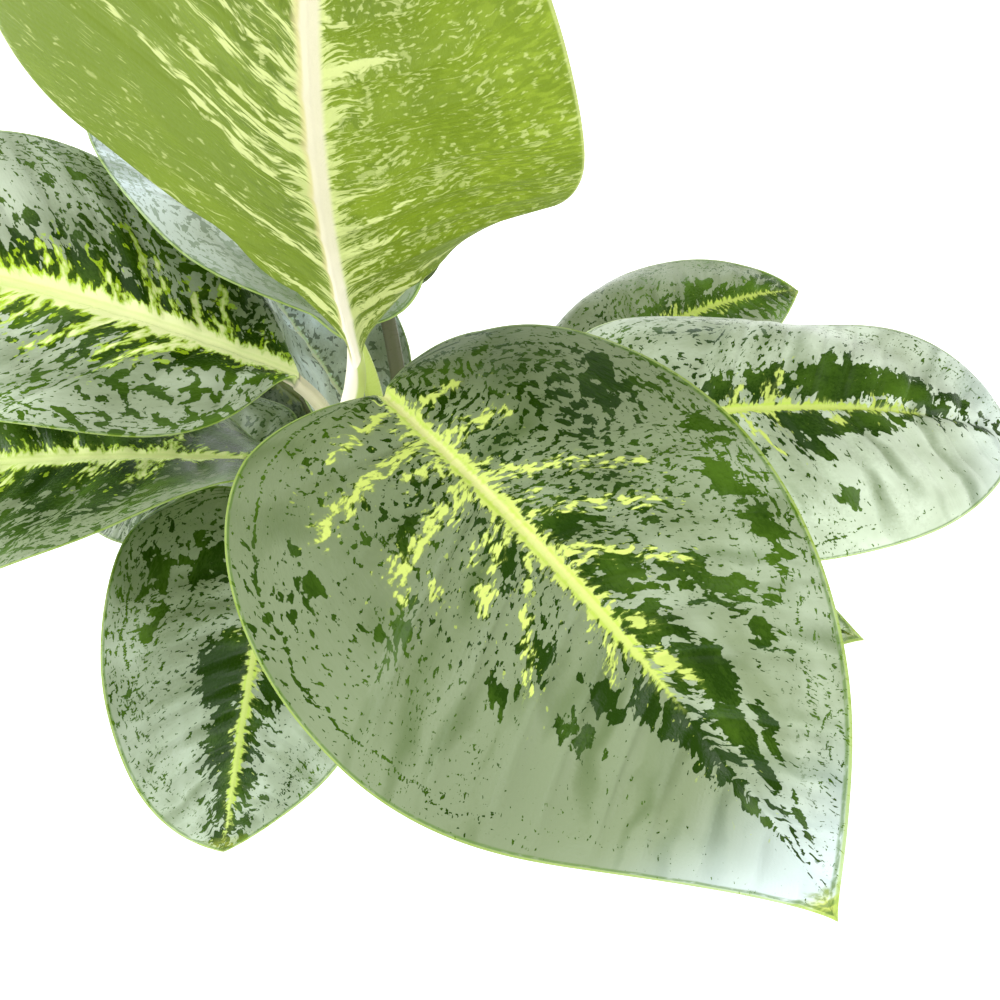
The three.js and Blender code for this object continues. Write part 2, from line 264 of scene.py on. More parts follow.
# %% Measures of the stems and leaves
STEMS = {
    "main": ((0.000, 0.004, 0.080), (-0.001, 0.002, 0.130), (0.002, -0.005, 0.172)),
    "right": ((0.032, 0.014, 0.080), (0.036, 0.014, 0.118), (0.040, 0.010, 0.148)),
    "left": ((-0.032, -0.006, 0.080), (-0.033, -0.006, 0.112), (-0.030, -0.006, 0.136)),
}
STEM_FOOT_RADIUS = 0.008
STEM_TOP_RADIUS = 0.0055
BUD_LENGTH = 0.026

USUAL = dict(
    stem="main", roll=0, twist=0, bend=0, fold=10, curl=20, furl=0, skew=0,
    tip=0.13, lobe=0.13, wide=0.36, knee=0.33, wave=0.0012,
)
LEAVES = {
    "leaf_front": dict(
        base=(0.0145, -0.0595, 0.279), heading=-48.5, pitch=3, droop=50, roll=-3, twist=42, bend=7,
        length=0.160, width=0.110, fold=4, curl=5, furl=3, skew=-0.13, tip=0.08, lobe=0.08,
        foot=(1, -30), knee=0.12,
    ),
    "leaf_upright": dict(
        base=(0.0075, -0.0465, 0.279), heading=-88.5, pitch=71.5, droop=9, roll=4, twist=-44,
        bend=30, length=0.179, width=0.118, fold=15, curl=-1, furl=37, skew=-0.2, tip=0.15,
        lobe=-0.01, wide=0.26, foot=(1, -150), wave=0.0006,
    ),
    "leaf_left": dict(
        base=(-0.019, -0.003, 0.221), heading=172, pitch=27, droop=26, roll=23, twist=-57, bend=5,
        length=0.167, width=0.099, fold=13, curl=49, skew=-0.18, tip=0.14, lobe=-0.1, wide=0.46,
        foot=(0.72, 180),
    ),
    "leaf_back_left": dict(
        base=(-0.005, 0.015, 0.224), heading=129, pitch=25, droop=35, roll=10, twist=16,
        length=0.148, width=0.092, fold=15, curl=17, furl=37, tip=0.14, foot=(0.85, 95),
    ),
    "leaf_back": dict(
        base=(-0.014, 0.039, 0.154), heading=133, pitch=40, droop=28, roll=26, twist=33,
        length=0.150, width=0.090, fold=18, curl=-9, foot=(0.42, 130),
    ),
    "leaf_left_low": dict(
        base=(-0.038, -0.020, 0.202), heading=180, pitch=5, droop=24, roll=39, twist=-54,
        length=0.151, width=0.093, curl=5, furl=-8, foot=(0.55, 225),
    ),
    "leaf_hanging": dict(
        base=(-0.0285, -0.029, 0.191), heading=271, pitch=-3, droop=56, roll=-4, twist=-35,
        bend=-22, length=0.112, width=0.085, fold=13, curl=11, furl=-6, skew=-0.04, tip=0.25,
        foot=(0.95, 270), stem="left",
    ),
    "leaf_right": dict(
        base=(0.070, -0.021, 0.219), heading=5.5, pitch=10, droop=45, roll=5, twist=6, bend=6,
        length=0.150, width=0.098, fold=13, curl=66, furl=10, tip=0.26,
        foot=(0.95, -20), stem="right",
    ),
    "leaf_right_back": dict(
        base=(0.059, 0.024, 0.184), heading=33, pitch=14, droop=44, roll=-2, twist=27,
        length=0.122, width=0.075, fold=1, curl=62, furl=-12, foot=(0.8, 30), stem="right",
    ),
    "leaf_under_front": dict(
        base=(0.033, -0.041, 0.170), heading=-6, pitch=10, droop=30, bend=-5,
        length=0.128, width=0.072, tip=0.11, foot=(0.6, -110), stem="right",
    ),
    "leaf_under_left": dict(
        base=(-0.036, 0.015, 0.161), heading=181, pitch=-9, droop=44, twist=4,
        length=0.097, width=0.061, foot=(0.7, 180), stem="left",
    ),
    "leaf_rear": dict(
        base=(0.000, 0.054, 0.205), heading=106, pitch=21, droop=40, roll=-5,
        length=0.112, width=0.062, foot=(0.36, 60),
    ),
    "leaf_rear_right": dict(
        base=(0.057, 0.040, 0.150), heading=48, pitch=-4, droop=28,
        length=0.102, width=0.064, foot=(0.5, 90), stem="right",
    ),
    "leaf_rear_left": dict(
        base=(-0.037, 0.056, 0.142), heading=140, pitch=4, droop=36,
        length=0.110, width=0.068, lobe=0.36, foot=(0.6, 85), stem="left",
    ),
}
print(len(LEAVES), "leaves on", len(STEMS), "stems")

# %% [markdown]
# ## The midrib's path
#
# The midrib starts at the blade's base and turns steadily, so its place is a sum of short steps
# along its direction. With it go two more directions, up and left, which turn about the midrib
# and carry the rest of the blade.

# %% Place and directions along the midrib
MIDRIB_STEPS = 24


def midrib_direction(leaf, share):
    heading = np.radians(leaf["heading"] + leaf["bend"] * np.maximum(share, 0))
    pitch = np.radians(leaf["pitch"] - leaf["droop"] * share)
    flat, rise = np.cos(pitch), np.sin(pitch)
    along = np.stack([flat * np.cos(heading), flat * np.sin(heading), rise], axis=-1)
    up = np.stack([-rise * np.cos(heading), -rise * np.sin(heading), flat], axis=-1)
    return along, up


def midrib_at(leaf, share):
    share = np.asarray(share, dtype=float)
    place = np.zeros(share.shape + (3,)) + leaf["base"]
    step = share * leaf["length"] / MIDRIB_STEPS
    for k in range(MIDRIB_STEPS):
        along, _ = midrib_direction(leaf, share * (k + 0.5) / MIDRIB_STEPS)
        place += along * step[..., None]
    along, up = midrib_direction(leaf, share)
    eased = 1 - (1 - np.clip(share, 0, 1)) ** 2
    turn = np.radians(leaf["roll"] + leaf["twist"] * eased)[..., None]
    up = up * np.cos(turn) + np.cross(along, up) * np.sin(turn)
    return place, along, up, np.cross(up, along)


front_tip = midrib_at({**USUAL, **LEAVES["leaf_front"]}, 1.0)[0]
print("tip of the front leaf at", np.round(front_tip, 4))

# %% [markdown]
# ## Outline and skin of the blade
#
# The outline of one half is two curves: the basal lobe out to the widest place, then in to the
# tip. Rows of the mesh follow the side veins, which leave the midrib squarely and sweep forward,
# so everything that grows along the veins, relief and colour alike, lines up with the mesh.

# %% Outline, and the middle surface of the blade
FIRST_VEIN = 0.2
VEIN_SWEEP = 1.3
FURL_REACH = 0.18
WAVE_TURNS = 15


def cubic(corners, t):
    a, b, c, d = (np.array(corner, dtype=float) for corner in corners)
    t = t[:, None]
    return a * (1 - t) ** 3 + 3 * b * t * (1 - t) ** 2 + 3 * c * t**2 * (1 - t) + d * t**3


def half_outline(leaf, lobe_rows, body_rows):
    t_lobe = np.linspace(0.03, 1, lobe_rows)
    t_body = np.linspace(0, 1, body_rows + 1)[1:]
    wide = leaf["wide"]
    lobe = cubic([(0, 0), (0.52, -leaf["lobe"]), (1, 0.02), (1, wide)], t_lobe)
    body = cubic([(1, wide), (1, 0.66), (2 * leaf["tip"], 0.87), (0, 1)], t_body)
    rib = np.concatenate([FIRST_VEIN * t_lobe**1.2, FIRST_VEIN + (1 - FIRST_VEIN) * t_body])
    return np.concatenate([lobe, body]), rib


def middle_surface(leaf, edge, rib, across):
    side = np.where(across >= 0, 1.0, -1.0)[None, :]
    v = np.abs(across)[None, :]
    reach = edge[:, :1] * v
    off = np.maximum(reach * leaf["width"] * (1 + side * leaf["skew"]) / 2, 1e-8)
    share = rib[:, None] + (edge[:, 1:] - rib[:, None]) * v**VEIN_SWEEP
    place, along, up, left = midrib_at(leaf, share)
    fold = np.radians(leaf["fold"] + leaf["furl"] * np.exp(-np.maximum(share, 0) / FURL_REACH))
    rate = np.radians(leaf["curl"]) / (leaf["width"] / 2)
    out = (np.sin(fold) - np.sin(fold - rate * off)) / rate
    lift = (np.cos(fold - rate * off) - np.cos(fold)) / rate
    ripple = leaf["wave"] * reach**3 * np.sin(WAVE_TURNS * share + 2 * side)
    points = place + left * (side * out)[..., None] + up * (lift + ripple)[..., None]
    return points, up, off, share


# %% [markdown]
# ## Relief of the blade
#
# On the real leaf the side veins are sunk into the upper face and stand out below, the blade is
# quilted up between them, and the whole blade heaves gently. A sum of soft creases does the veins.
# Each leaf draws its own spacing from seeded random numbers, so no two leaves match.

# %% Heights added to the middle surface
VEINS = 11
CREASE, CREASE_HALF = 0.5 * MM, 0.9 * MM
QUILT, QUILT_REACH = 1.0 * MM, 5 * MM
HEAVE, HEAVE_REACH = 1.9 * MM, 15 * MM
FLAT_AT_RIB = 4 * MM


def vein_places(rng):
    steps = rng.uniform(0.75, 1.25, VEINS + 1)
    return 0.02 + 0.95 * np.cumsum(steps)[:-1] / np.sum(steps)


def blade_relief(leaf, rng, across, rib, off, share):
    height = np.zeros_like(off)
    for side in (1, -1):
        here = (np.sign(across + 1e-9) == side)[None, :]
        places = vein_places(rng)
        gap = np.min(np.abs(rib[:, None] - places), axis=1)[:, None] * leaf["length"]
        v = np.abs(across)[None, :]
        fade = np.clip(off / FLAT_AT_RIB, 0, 1) * (1 - v**4)
        crease = -CREASE * np.exp(-((gap / CREASE_HALF) ** 2))
        pillow = QUILT * np.clip(gap / QUILT_REACH, 0, 1) ** 0.8
        height += here * fade * (crease + pillow - 0.5 * QUILT)
    turns = rng.uniform(5, 9, 4)
    phase = rng.uniform(0, 6.28, 4)
    signed = across[None, :] * np.ones_like(off)
    heave = np.sin(turns[0] * share + 2.5 * signed + phase[0]) * np.sin(4 * signed + phase[1])
    heave += 0.5 * np.sin(turns[1] * 1.8 * share + phase[2]) * np.sin(6 * signed + phase[3])
    return height + HEAVE * heave * np.clip(off / HEAVE_REACH, 0, 1)


# %% [markdown]
# ## Where the lemon and the dark patches lie
#
# Two fields are worked out on the mesh, both in millimetres: how deep a point is inside the lemon
# band and its streaks, and how deep inside the boldest dark patches. A negative value is how far
# outside. The finish cuts both at zero after adding noise, which tears the smooth shapes into
# ragged ones. Most streaks are drawn by seeded chance. The few that make the front leaves
# recognisable were placed one by one, in millimetres along the midrib and across the side veins.

# %% Fields of the markings
FAR_OUTSIDE = -9
PATCH_ROUND = 0.72


def fading_at(share, look):
    rest = np.clip((look["lemon_end"] - share) / look["fade"], 0, 1)
    return rest * rest * (3 - 2 * rest)


def lemon_field(leaf, look, rng, along, across, off):
    """Millimetres inside the lemon; along, across and off are millimetres too."""
    length = leaf["length"] / MM
    end = look["lemon_end"]
    field = look["lemon"] * fading_at(along / length, look) ** 0.6 - off
    streaks = list(look["streaks"])
    for side in (1, -1):
        for _ in range(look["streak_count"]):
            start = rng.uniform(0.02, end)
            reach = 2 + look["feather"] * rng.uniform() ** look["rarity"] * fading_at(start, look)
            slant = rng.uniform(-0.05, 0.25) * reach
            half = rng.uniform(0.5, 1.2) * look["streak_width"]
            start = start * length
            streaks.append((start, 0, start + slant, side * reach, half))
    for start, near, finish, far, half in streaks:
        run = np.array([finish - start, far - near])
        share = ((along - start) * run[0] + (across - near) * run[1]) / (run @ run + 1e-9)
        share = np.clip(share, 0, 1)
        gap = np.hypot(along - start - share * run[0], across - near - share * run[1])
        field = np.maximum(field, half * (1 - 0.6 * share) - gap)
    return np.maximum(field, FAR_OUTSIDE)


def patch_field(patches, along, across):
    """Patches are (along, across, width, height): millimetres, with the height along the rib."""
    field = np.full_like(along, float(FAR_OUTSIDE))
    for middle, out, wide, tall in patches:
        apart = np.hypot((along - middle) / tall, (across - out) / wide) / PATCH_ROUND
        field = np.maximum(field, (1 - apart) * min(wide, tall) / 2)
    return np.maximum(field, FAR_OUTSIDE)


# %% [markdown]
# ## One closed skin from petiole to tip
#
# The leaf is one tube of rings. On the petiole a ring is round, with the groove of the sheath on
# its upper side. At the blade's base the same ring opens out flat: half of its points run over the
# upper face from the left margin to the right one, the other half come back under it. So petiole,
# midrib and blade are one closed skin with no seam, as they are on the plant.

# %% Petiole rings
FOOT_RADIUS, MIDDLE_RADIUS, NECK_RADIUS = 0.0046, 0.0032, 0.0025
GROOVE = 0.36
WING_HEIGHT, WING_ANGLE, WING_HALF = 0.9 * MM, 0.95, 0.22
SEAT_OUT = 0.0015
SUNK_OUT, SUNK_DOWN, SUNK_SHARE = 0.0045, 0.004, 0.05
NECK_SHARE, NECK_DROP = 0.04, NECK_RADIUS * 0.7
MOUTH_FROM = 0.8


def bezier(points, t):
    """Points and directions of a Bezier curve of any degree."""
    place = [np.zeros((len(t), 3)) + p for p in points]
    while len(place) > 2:
        place = [a * (1 - t[:, None]) + b * t[:, None] for a, b in zip(place, place[1:])]
    along = place[1] - place[0]
    place = place[0] * (1 - t[:, None]) + place[1] * t[:, None]
    return place, along / np.linalg.norm(along, axis=1)[:, None]


def petiole_rings(leaf, rings, angles, mouth):
    """Rings from foot to neck; mouth is the blade's first ring, which the neck grows into."""
    share, heading = leaf["foot"]
    stem_place, stem_along = bezier(STEMS[leaf["stem"]], np.array([float(share)]))
    stem_radius = STEM_FOOT_RADIUS + (STEM_TOP_RADIUS - STEM_FOOT_RADIUS) * share
    out = np.array([math.cos(math.radians(heading)), math.sin(math.radians(heading)), 0])
    start = stem_place[0] + out * (stem_radius + SEAT_OUT)
    rise = stem_along[0] + 0.25 * out
    rise /= np.linalg.norm(rise)
    neck, neck_along, neck_up, _ = midrib_at(leaf, NECK_SHARE)
    end = neck - neck_up * NECK_DROP
    span = np.linalg.norm(end - start)
    curve = [start, start + rise * 0.45 * span, end - neck_along * leaf["knee"] * span, end]
    last = 1 - (NECK_SHARE * leaf["length"] + 1.2 * MM) / (3 * leaf["knee"] * span)
    t = np.linspace(0, last, rings)
    place, along = bezier(curve, t)
    inward = -out + (neck_up + out) * t[:, None]
    inward -= along * np.sum(inward * along, axis=1)[:, None]
    inward /= np.linalg.norm(inward, axis=1)[:, None]
    left = np.cross(inward, along)
    slim = MIDDLE_RADIUS + (NECK_RADIUS - MIDDLE_RADIUS) * t
    flare = (FOOT_RADIUS - MIDDLE_RADIUS) * np.maximum(0, 1 - 3 * t) ** 2
    groove = GROOVE * np.maximum(0, np.cos(angles)) ** 2
    wing = np.exp(-(((np.abs(angles) - WING_ANGLE) / WING_HALF) ** 2)) * WING_HEIGHT
    wings = wing[None, :] * np.maximum(0, 1 - 1.6 * t)[:, None]
    radius = (slim + flare)[:, None] * (1 - groove)[None, :] + wings
    sunk = np.maximum(0, 1 - t / SUNK_SHARE) ** 2
    place = place - (out * SUNK_OUT)[None, :] * sunk[:, None] - rise * SUNK_DOWN * sunk[:, None]
    radius = radius * (1 - 0.55 * sunk)[:, None]
    begin, _, begin_up, begin_left = midrib_at(leaf, 0.0)
    mouth = mouth - (begin - begin_up * NECK_DROP)
    opened = np.clip((t - MOUTH_FROM) / (1 - MOUTH_FROM), 0, 1)[:, None]
    opened = opened * opened * (3 - 2 * opened)
    rise = radius * np.cos(angles) * (1 - opened) + (mouth @ begin_up) * opened
    reach = radius * np.sin(angles) * (1 - opened) + (mouth @ begin_left) * opened
    ring = inward[:, None, :] * rise[..., None] + left[:, None, :] * reach[..., None]
    return place[:, None, :] + ring, t


# %% The whole skin of a leaf
BLADE_HALF, THINNER_AT_MARGIN = 0.36 * MM, 0.2 * MM
GUTTER_DEPTH, GUTTER_HALF = 0.75 * MM, 1.5 * MM


def add_map(mesh, name, pairs):
    layer = mesh.uv_layers.new(name=name)
    layer.data.foreach_set("uv", np.ascontiguousarray(pairs, dtype=np.float32).ravel())


def make_piece(name, points, faces, finishes, smooth=True):
    mesh = bpy.data.meshes.new(name)
    mesh.from_pydata(points, [], faces)
    mesh.polygons.foreach_set("use_smooth", [smooth] * len(mesh.polygons))
    for finish in finishes:
        mesh.materials.append(finish)
    piece = bpy.data.objects.new(name, mesh)
    bpy.context.collection.objects.link(piece)
    return piece


def leaf_piece(name, leaf, look, seed, finish, fineness):
    half = int(fineness * 44)
    u = np.linspace(0, 1, half + 1) ** 1.25
    across = np.concatenate([u[::-1], -u[1:]])
    edge, rib = half_outline(leaf, int(fineness * 34), int(fineness * 88))
    points, up, off, share = middle_surface(leaf, edge, rib, across)
    rng = np.random.default_rng(seed)
    normal = np.cross(np.gradient(points, axis=0), -np.gradient(points, axis=1))
    normal[-1] = up[-1]
    normal /= np.linalg.norm(normal, axis=-1)[..., None]
    shift = blade_relief(leaf, rng, across, rib, off, share)
    v = np.abs(across)[None, :]
    thick = BLADE_HALF - THINNER_AT_MARGIN * v**6
    near_tip = (1 - rib)[:, None]
    gutter = GUTTER_DEPTH * np.exp(-((off / GUTTER_HALF) ** 2)) * np.minimum(1, 3 * near_tip)
    keel_depth = (2.5 * np.exp(-rib / 0.1) + 1.35 * (1 - rib))[:, None] * MM
    keel_half = (1.5 + 1.1 * np.exp(-rib / 0.2))[:, None] * MM * np.minimum(1, 4 * near_tip + 0.1)
    keel = keel_depth * np.exp(-((off / keel_half) ** 2))
    top = points + normal * (shift + thick - gutter)[..., None]
    under = points + normal * (shift - thick)[..., None] - up * keel[..., None]
    blade = np.concatenate([top, under[:, ::-1]], axis=1)

    columns = len(across)
    half_turn = np.linspace(math.pi / 2, -math.pi / 2, columns)
    angles = np.concatenate([half_turn, half_turn - math.pi])
    signed = (angles + math.pi) % (2 * math.pi) - math.pi
    ring_count = int(fineness * 30)
    stalk, t = petiole_rings(leaf, ring_count, signed, blade[0])
    rings = np.concatenate([stalk, blade])
    total, around = rings.shape[:2]

    # Corner k of a face is a ring number and a number round the ring
    ring = np.arange(total - 1)[:, None] * np.ones(around, int)
    turn = np.arange(around)[None, :] * np.ones((total - 1, 1), int)
    after = (turn + 1) % around
    corner_ring = np.stack([ring, ring, ring + 1, ring + 1], -1).reshape(-1, 4)
    corner_turn = np.stack([after, turn, turn, after], -1).reshape(-1, 4)
    step_after = np.stack([turn + 1, turn, turn, turn + 1], -1).reshape(-1, 4)
    index = corner_ring * around + corner_turn
    tip_index = (total - 1) * around
    index[corner_ring == total - 1] = tip_index
    vertices = rings.reshape(-1, 3)[: tip_index + 1]
    vertices[tip_index] = points[-1, 0]
    foot_index = len(vertices)
    vertices = np.concatenate([vertices, rings[0].mean(axis=0)[None, :]])

    body = index[: (total - 2) * around]
    tip_fan = index[(total - 2) * around :][:, :3]
    foot_fan = [(foot_index, k, (k + 1) % around) for k in range(around)]
    faces = body.tolist() + tip_fan.tolist() + foot_fan
    piece = make_piece(name, vertices.tolist(), faces, [finish])

    def corners(table):
        """Values of a ring table at every corner of every face, in the faces' order."""
        at = table[corner_ring, corner_turn]
        tail = np.repeat(table[0][None, :1], 3 * around, axis=0).reshape(-1, table.shape[-1])
        four = at[: (total - 2) * around].reshape(-1, table.shape[-1])
        three = at[(total - 2) * around :, :3].reshape(-1, table.shape[-1])
        return np.concatenate([four, three, tail])

    def table_of(stalk_value, top_value, under_value):
        rows = np.concatenate([top_value, under_value[:, ::-1]], axis=1)
        return np.concatenate([stalk_value + np.zeros((ring_count, around)), rows])[..., None]

    wide_across = across[None, :] + np.zeros_like(off)
    wide_rib = rib[:, None] + np.zeros_like(off)
    stalk_across = np.sin(signed)[None, :] * 0.05
    zero, one = np.zeros_like(off), np.ones_like(off)
    foot_share = (t - 1)[:, None]
    veins = np.concatenate([table_of(foot_share, wide_rib, wide_rib),
                            table_of(stalk_across, wide_across, wide_across)], axis=-1)
    lay = np.concatenate([table_of(foot_share, share, share),
                          table_of(0.02, off * 10, off * 10)], axis=-1)
    is_under = (np.abs(signed) > math.pi / 2)[None, :] * 1.0
    kind = np.concatenate([table_of(is_under, zero, one),
                           table_of(2 - t[:, None], zero, zero)], axis=-1)
    along_mm = wide_rib * leaf["length"] / MM
    across_mm = wide_across * leaf["width"] / 2 / MM
    lemon = lemon_field(leaf, look, rng, along_mm, across_mm, off / MM) / 10
    patch = patch_field(look["patches"], along_mm, across_mm) / 10
    marks = np.concatenate([table_of(-0.9, lemon, lemon), table_of(-0.9, patch, patch)], axis=-1)

    # Bake map: upper face on the left, lower face on the right, petiole in a strip below them
    lobe_low = min(0.0, edge[:, 1].min())
    side_off = np.sign(wide_across) * off / (leaf["width"] * 1.25)
    up_x = 0.25 - side_off * 0.47
    down_x = 0.75 + side_off * 0.47
    y = 0.12 + 0.86 * (share - lobe_low) / (1 - lobe_low)
    bake = np.concatenate([table_of(0.0, up_x, down_x), table_of(0.0, y, y)], axis=-1)
    loops = bake[corner_ring, corner_turn]
    band = corner_ring[:, 3] <= ring_count
    loops[band, :, 0] = 0.02 + 0.96 * corner_ring[band] / ring_count
    loops[band, :, 1] = 0.01 + 0.085 * step_after[band] / around
    four = loops[: (total - 2) * around].reshape(-1, 2)
    three = loops[(total - 2) * around :, :3].reshape(-1, 2)
    ends = [(0.005, 0.001), (0.012, 0.001), (0.012, 0.008)] * around
    add_map(piece.data, "OFBake", np.concatenate([four, three, np.array(ends)]))
    add_map(piece.data, "Veins", corners(veins))
    add_map(piece.data, "Lay", corners(lay))
    add_map(piece.data, "Kind", corners(kind))
    add_map(piece.data, "Marks", corners(marks))
    return piece


# %% [markdown]
# ## Finish of the mature leaves
#
# The blade is silver-mint, with dark green flecks that grow along the veins, a lemon midrib that
# runs out in feathered streaks along the side veins, and a dark green zone beside it. Real flecks
# are islands with ragged edges in many sizes, which a fractal noise cut at a level gives. The noise
# is stretched along the veins, and a crowd is added to it where flecks lie close. The bump has the
# flecks a little sunken and the lemon a little raised.

# %% Palette and looks
BOLD_CUT = (-0.1, 0.15)
BLOB_CUT = (0.62, 0.63)
FLECK_CUT = (0.63, 0.645)
SPECK_CUT = (0.75, 0.77)
RIM_CUT = (0.645, 0.66)
LINE_CUT = (0.6, 0.62)
LEMON_CUT = (-0.3, 0.5)
LOOSE_CUT = (0.69, 0.72)
BUMP_DEPTH, BUMP_STRENGTH = 0.14 * MM, 0.6

SILVER = srgb(136, 148, 114)
# Painted sheen: the bluish white of a reflection, laid into the colour
PAINTED_SHEEN = srgb(220, 234, 234)
# Painted shade, laid into the colour of the silver
PAINTED_SHADE = srgb(88, 106, 62)
SILVER_COOL = srgb(200, 212, 186)
SILVER_GREEN = srgb(112, 126, 84)
# Painted sheen: a bluish-white reflection on silver seen at a glancing angle
SILVER_BLUE_SHEEN = srgb(214, 230, 226)
FLECK = srgb(32, 58, 2)
FLECK_PALE = srgb(82, 116, 26)
LEMON = srgb(214, 228, 120)
LIME = srgb(172, 190, 86)
LIME_DEEP = srgb(178, 212, 40)
# Painted light: the lemon as it looks in strong light
LEMON_PAINTED_LIT = srgb(250, 255, 190)
CREAM = srgb(232, 230, 164)
RIM = srgb(160, 186, 78)
TIP_LEMON = srgb(196, 208, 76)
STALK_CREAM = srgb(224, 214, 184)
STALK_GREEN = srgb(166, 176, 112)

USUAL_LOOK = dict(
    lemon=3.5, feather=16, rarity=2.2, streak_width=1.1, lemon_end=0.96, fade=0.45,
    streak_count=16, lime=0.35, streaks=(), patches=(), green=14, green_from=0.1, green_to=0.98,
    base_flecks=0.55, right_flecks=1.0, open_flecks=0.1, edge_flecks=0.45, light_flecks=0.25,
    cool=0.3, left_cool=0.0, painted_tip_sheen=0.0, painted_base_shadow=0.0, painted_deep_shade=0.0, grain_size=1.0, blue=0.0,
    painted_lemon_light=0.0, shade=0.0, leafy=0.0, tip_patch=0.4, stalk_lime=0.0, faint=0.0,
)
LOOKS = {
    "leaf_front": dict(
        lemon=2.4, feather=12, streak_width=0.8, lemon_end=0.63, fade=0.3, streak_count=24,
        lime=0.1, green=11, green_from=0.3, green_to=0.88, base_flecks=1.25, right_flecks=0.38,
        open_flecks=-0.5, edge_flecks=0.42, light_flecks=0.15, cool=-0.7, left_cool=0.8,
        shade=0.16, painted_tip_sheen=0.75, tip_patch=1.0,
        streaks=(
            (7, -8, 13, -28, 1.0), (17, -3, 21, -34, 1.2), (31, -3, 30, -25, 1.1),
            (9, 3, 14, 23, 0.9), (20, 3, 24, 18, 1.3), (32, 0, 41, 33, 0.9), (55, 2, 64, 28, 1.0),
            (47, 11, 50, 31, 0.7), (55, -7, 66, -24, 0.7), (78, -4, 81, -9, 1.2),
            (48, -14, 49, -16, 2.0), (76, 7, 77, 10, 2.0), (86, 6, 91, 11, 3.0),
            (31, -24, 32, -26, 1.3), (37, -20, 39, -20, 1.0),
        ),
        patches=(
            (64, 10, 14, 7), (66, 24, 10, 5), (71, 32, 13, 4), (79, 37, 5, 6), (78, 8, 12, 9),
            (89, 17, 12, 12), (102, 15, 10, 13), (104, 27, 4, 9), (114, 18, 6, 9),
            (102, -4, 8, 13), (91, -7, 7, 9), (82, -14, 5, 6), (79, -24, 4, 6), (64, -16, 5, 6),
            (60, -27, 4, 4),
            (48, -7, 5, 5), (34, -30, 6, 3), (29, -17, 5, 3), (24, -41, 3.5, 2.5), (50, 8, 9, 5),
            (47, 44, 5, 5), (57, 47, 4, 10), (53, 26, 3, 3), (36, 49, 5, 3), (27, 41, 10, 3),
            (124, 9, 3, 9), (131, 16, 3, 8), (126, 28, 3, 9), (137, 6, 2, 7),
        ),
    ),
    "leaf_left": dict(
        lemon=5.0, feather=22, rarity=1.8, streak_width=1.8, streak_count=30, lime=0.0, green=15,
        green_from=-0.2, green_to=1.1, open_flecks=0.5, base_flecks=0.8, light_flecks=0.5,
        grain_size=1.7, cool=0.5, painted_lemon_light=1.0, leafy=0.3,
        streaks=((30, 3, 36, 20, 2.2), (52, 3, 60, 24, 2.4), (78, 3, 88, 22, 2.4)),
        patches=((48, -16, 14, 5), (74, -20, 6, 5), (62, -10, 9, 4)),
    ),
    "leaf_left_low": dict(
        lemon=3.8, feather=14, streak_width=1.8, streak_count=26, lime=0.0, green=26,
        green_from=-0.3, base_flecks=1.1, cool=-0.7, light_flecks=0.4, grain_size=1.4, painted_lemon_light=0.8,
        leafy=0.25, open_flecks=0.5, shade=0.15,
    ),
    "leaf_hanging": dict(
        lemon=1.4, feather=5, lemon_end=0.98, fade=0.3, lime=0.6, green=12, green_from=0.15,
        green_to=1.1, light_flecks=0.1, cool=-0.1, blue=0.12, base_flecks=0.6, open_flecks=-0.1,
        patches=((20, -31, 4, 6), (31, -30, 4, 5), (19, -14, 14, 6), (50, -8, 15, 16),
                 (72, -8, 11, 18), (46, 9, 10, 22), (84, -5, 14, 8), (84, 6, 14, 7),
                 (99, 0, 12, 8)),
    ),
    "leaf_right": dict(
        lemon=1.8, feather=16, lemon_end=0.72, lime=0.7, green=7, green_from=0.0, green_to=1.2,
        base_flecks=0.6, light_flecks=0.12, cool=0.6, open_flecks=-0.4, edge_flecks=0.2,
        right_flecks=0.3, painted_tip_sheen=0.4, leafy=0.15, grain_size=1.3,
        patches=((36, 7, 7, 7), (50, 9, 10, 10), (72, 11, 13, 20), (95, 11, 11, 20), (116, 16, 8, 10),
                 (60, -7, 9, 16), (80, -7, 8, 18), (55, -17, 5, 5), (57, -31, 5, 4)),
    ),
    "leaf_right_back": dict(
        lemon=1.2, feather=6, lime=0.9, green=12, green_from=-0.2, green_to=1.3, cool=-0.5,
        open_flecks=0.1, light_flecks=0.0, leafy=0.4,
        patches=((66, 12, 8, 10), (90, 10, 7, 12)),
    ),
    "leaf_back_left": dict(
        open_flecks=0.3, base_flecks=1.0, cool=1.2, blue=1.4, leafy=0.5, grain_size=1.2,
        painted_base_shadow=0.9, stalk_lime=0.9, faint=0.5,
    ),
    "leaf_back": dict(
        lemon=1.6, feather=0, streak_count=0, lime=0.4, green=4, green_from=-0.3, base_flecks=0.5,
        cool=1.2, open_flecks=-0.1, light_flecks=0.0, blue=2.6, grain_size=1.6, faint=0.35,
    ),
    "leaf_under_left": dict(painted_deep_shade=0.5, green=22),
    "leaf_rear": dict(painted_deep_shade=0.8, lemon=1.0, lime=1.0),
    "leaf_rear_left": dict(painted_deep_shade=0.85),
    "leaf_upright": dict(
        lemon=1.8, feather=44, rarity=1.8, streak_width=1.5, lemon_end=1.2, streak_count=34,
    ),
}


# %% Maps that every leaf carries
def leaf_maps(finish):
    """The leaf's maps as wires: lengths are millimetres, shares run from 0 to 1."""
    maps = {}
    maps["rib"], maps["across"] = finish.map_pair("Veins")
    maps["share"], off = finish.map_pair("Lay")
    maps["under"], maps["stalk"] = finish.map_pair("Kind")
    lemon, patch = finish.map_pair("Marks")
    maps["lemon"], maps["patch"] = lemon * 10, patch * 10
    maps["off"] = off * 100
    reach = maps["across"].size().most(0.01)
    maps["side"] = maps["across"] / reach
    at_midrib = 1 - maps["across"].size().rise(0.005, 0.02)
    maps["margin"] = maps["off"] * (1 - reach) / reach + at_midrib * 30
    maps["edge"] = reach
    return maps


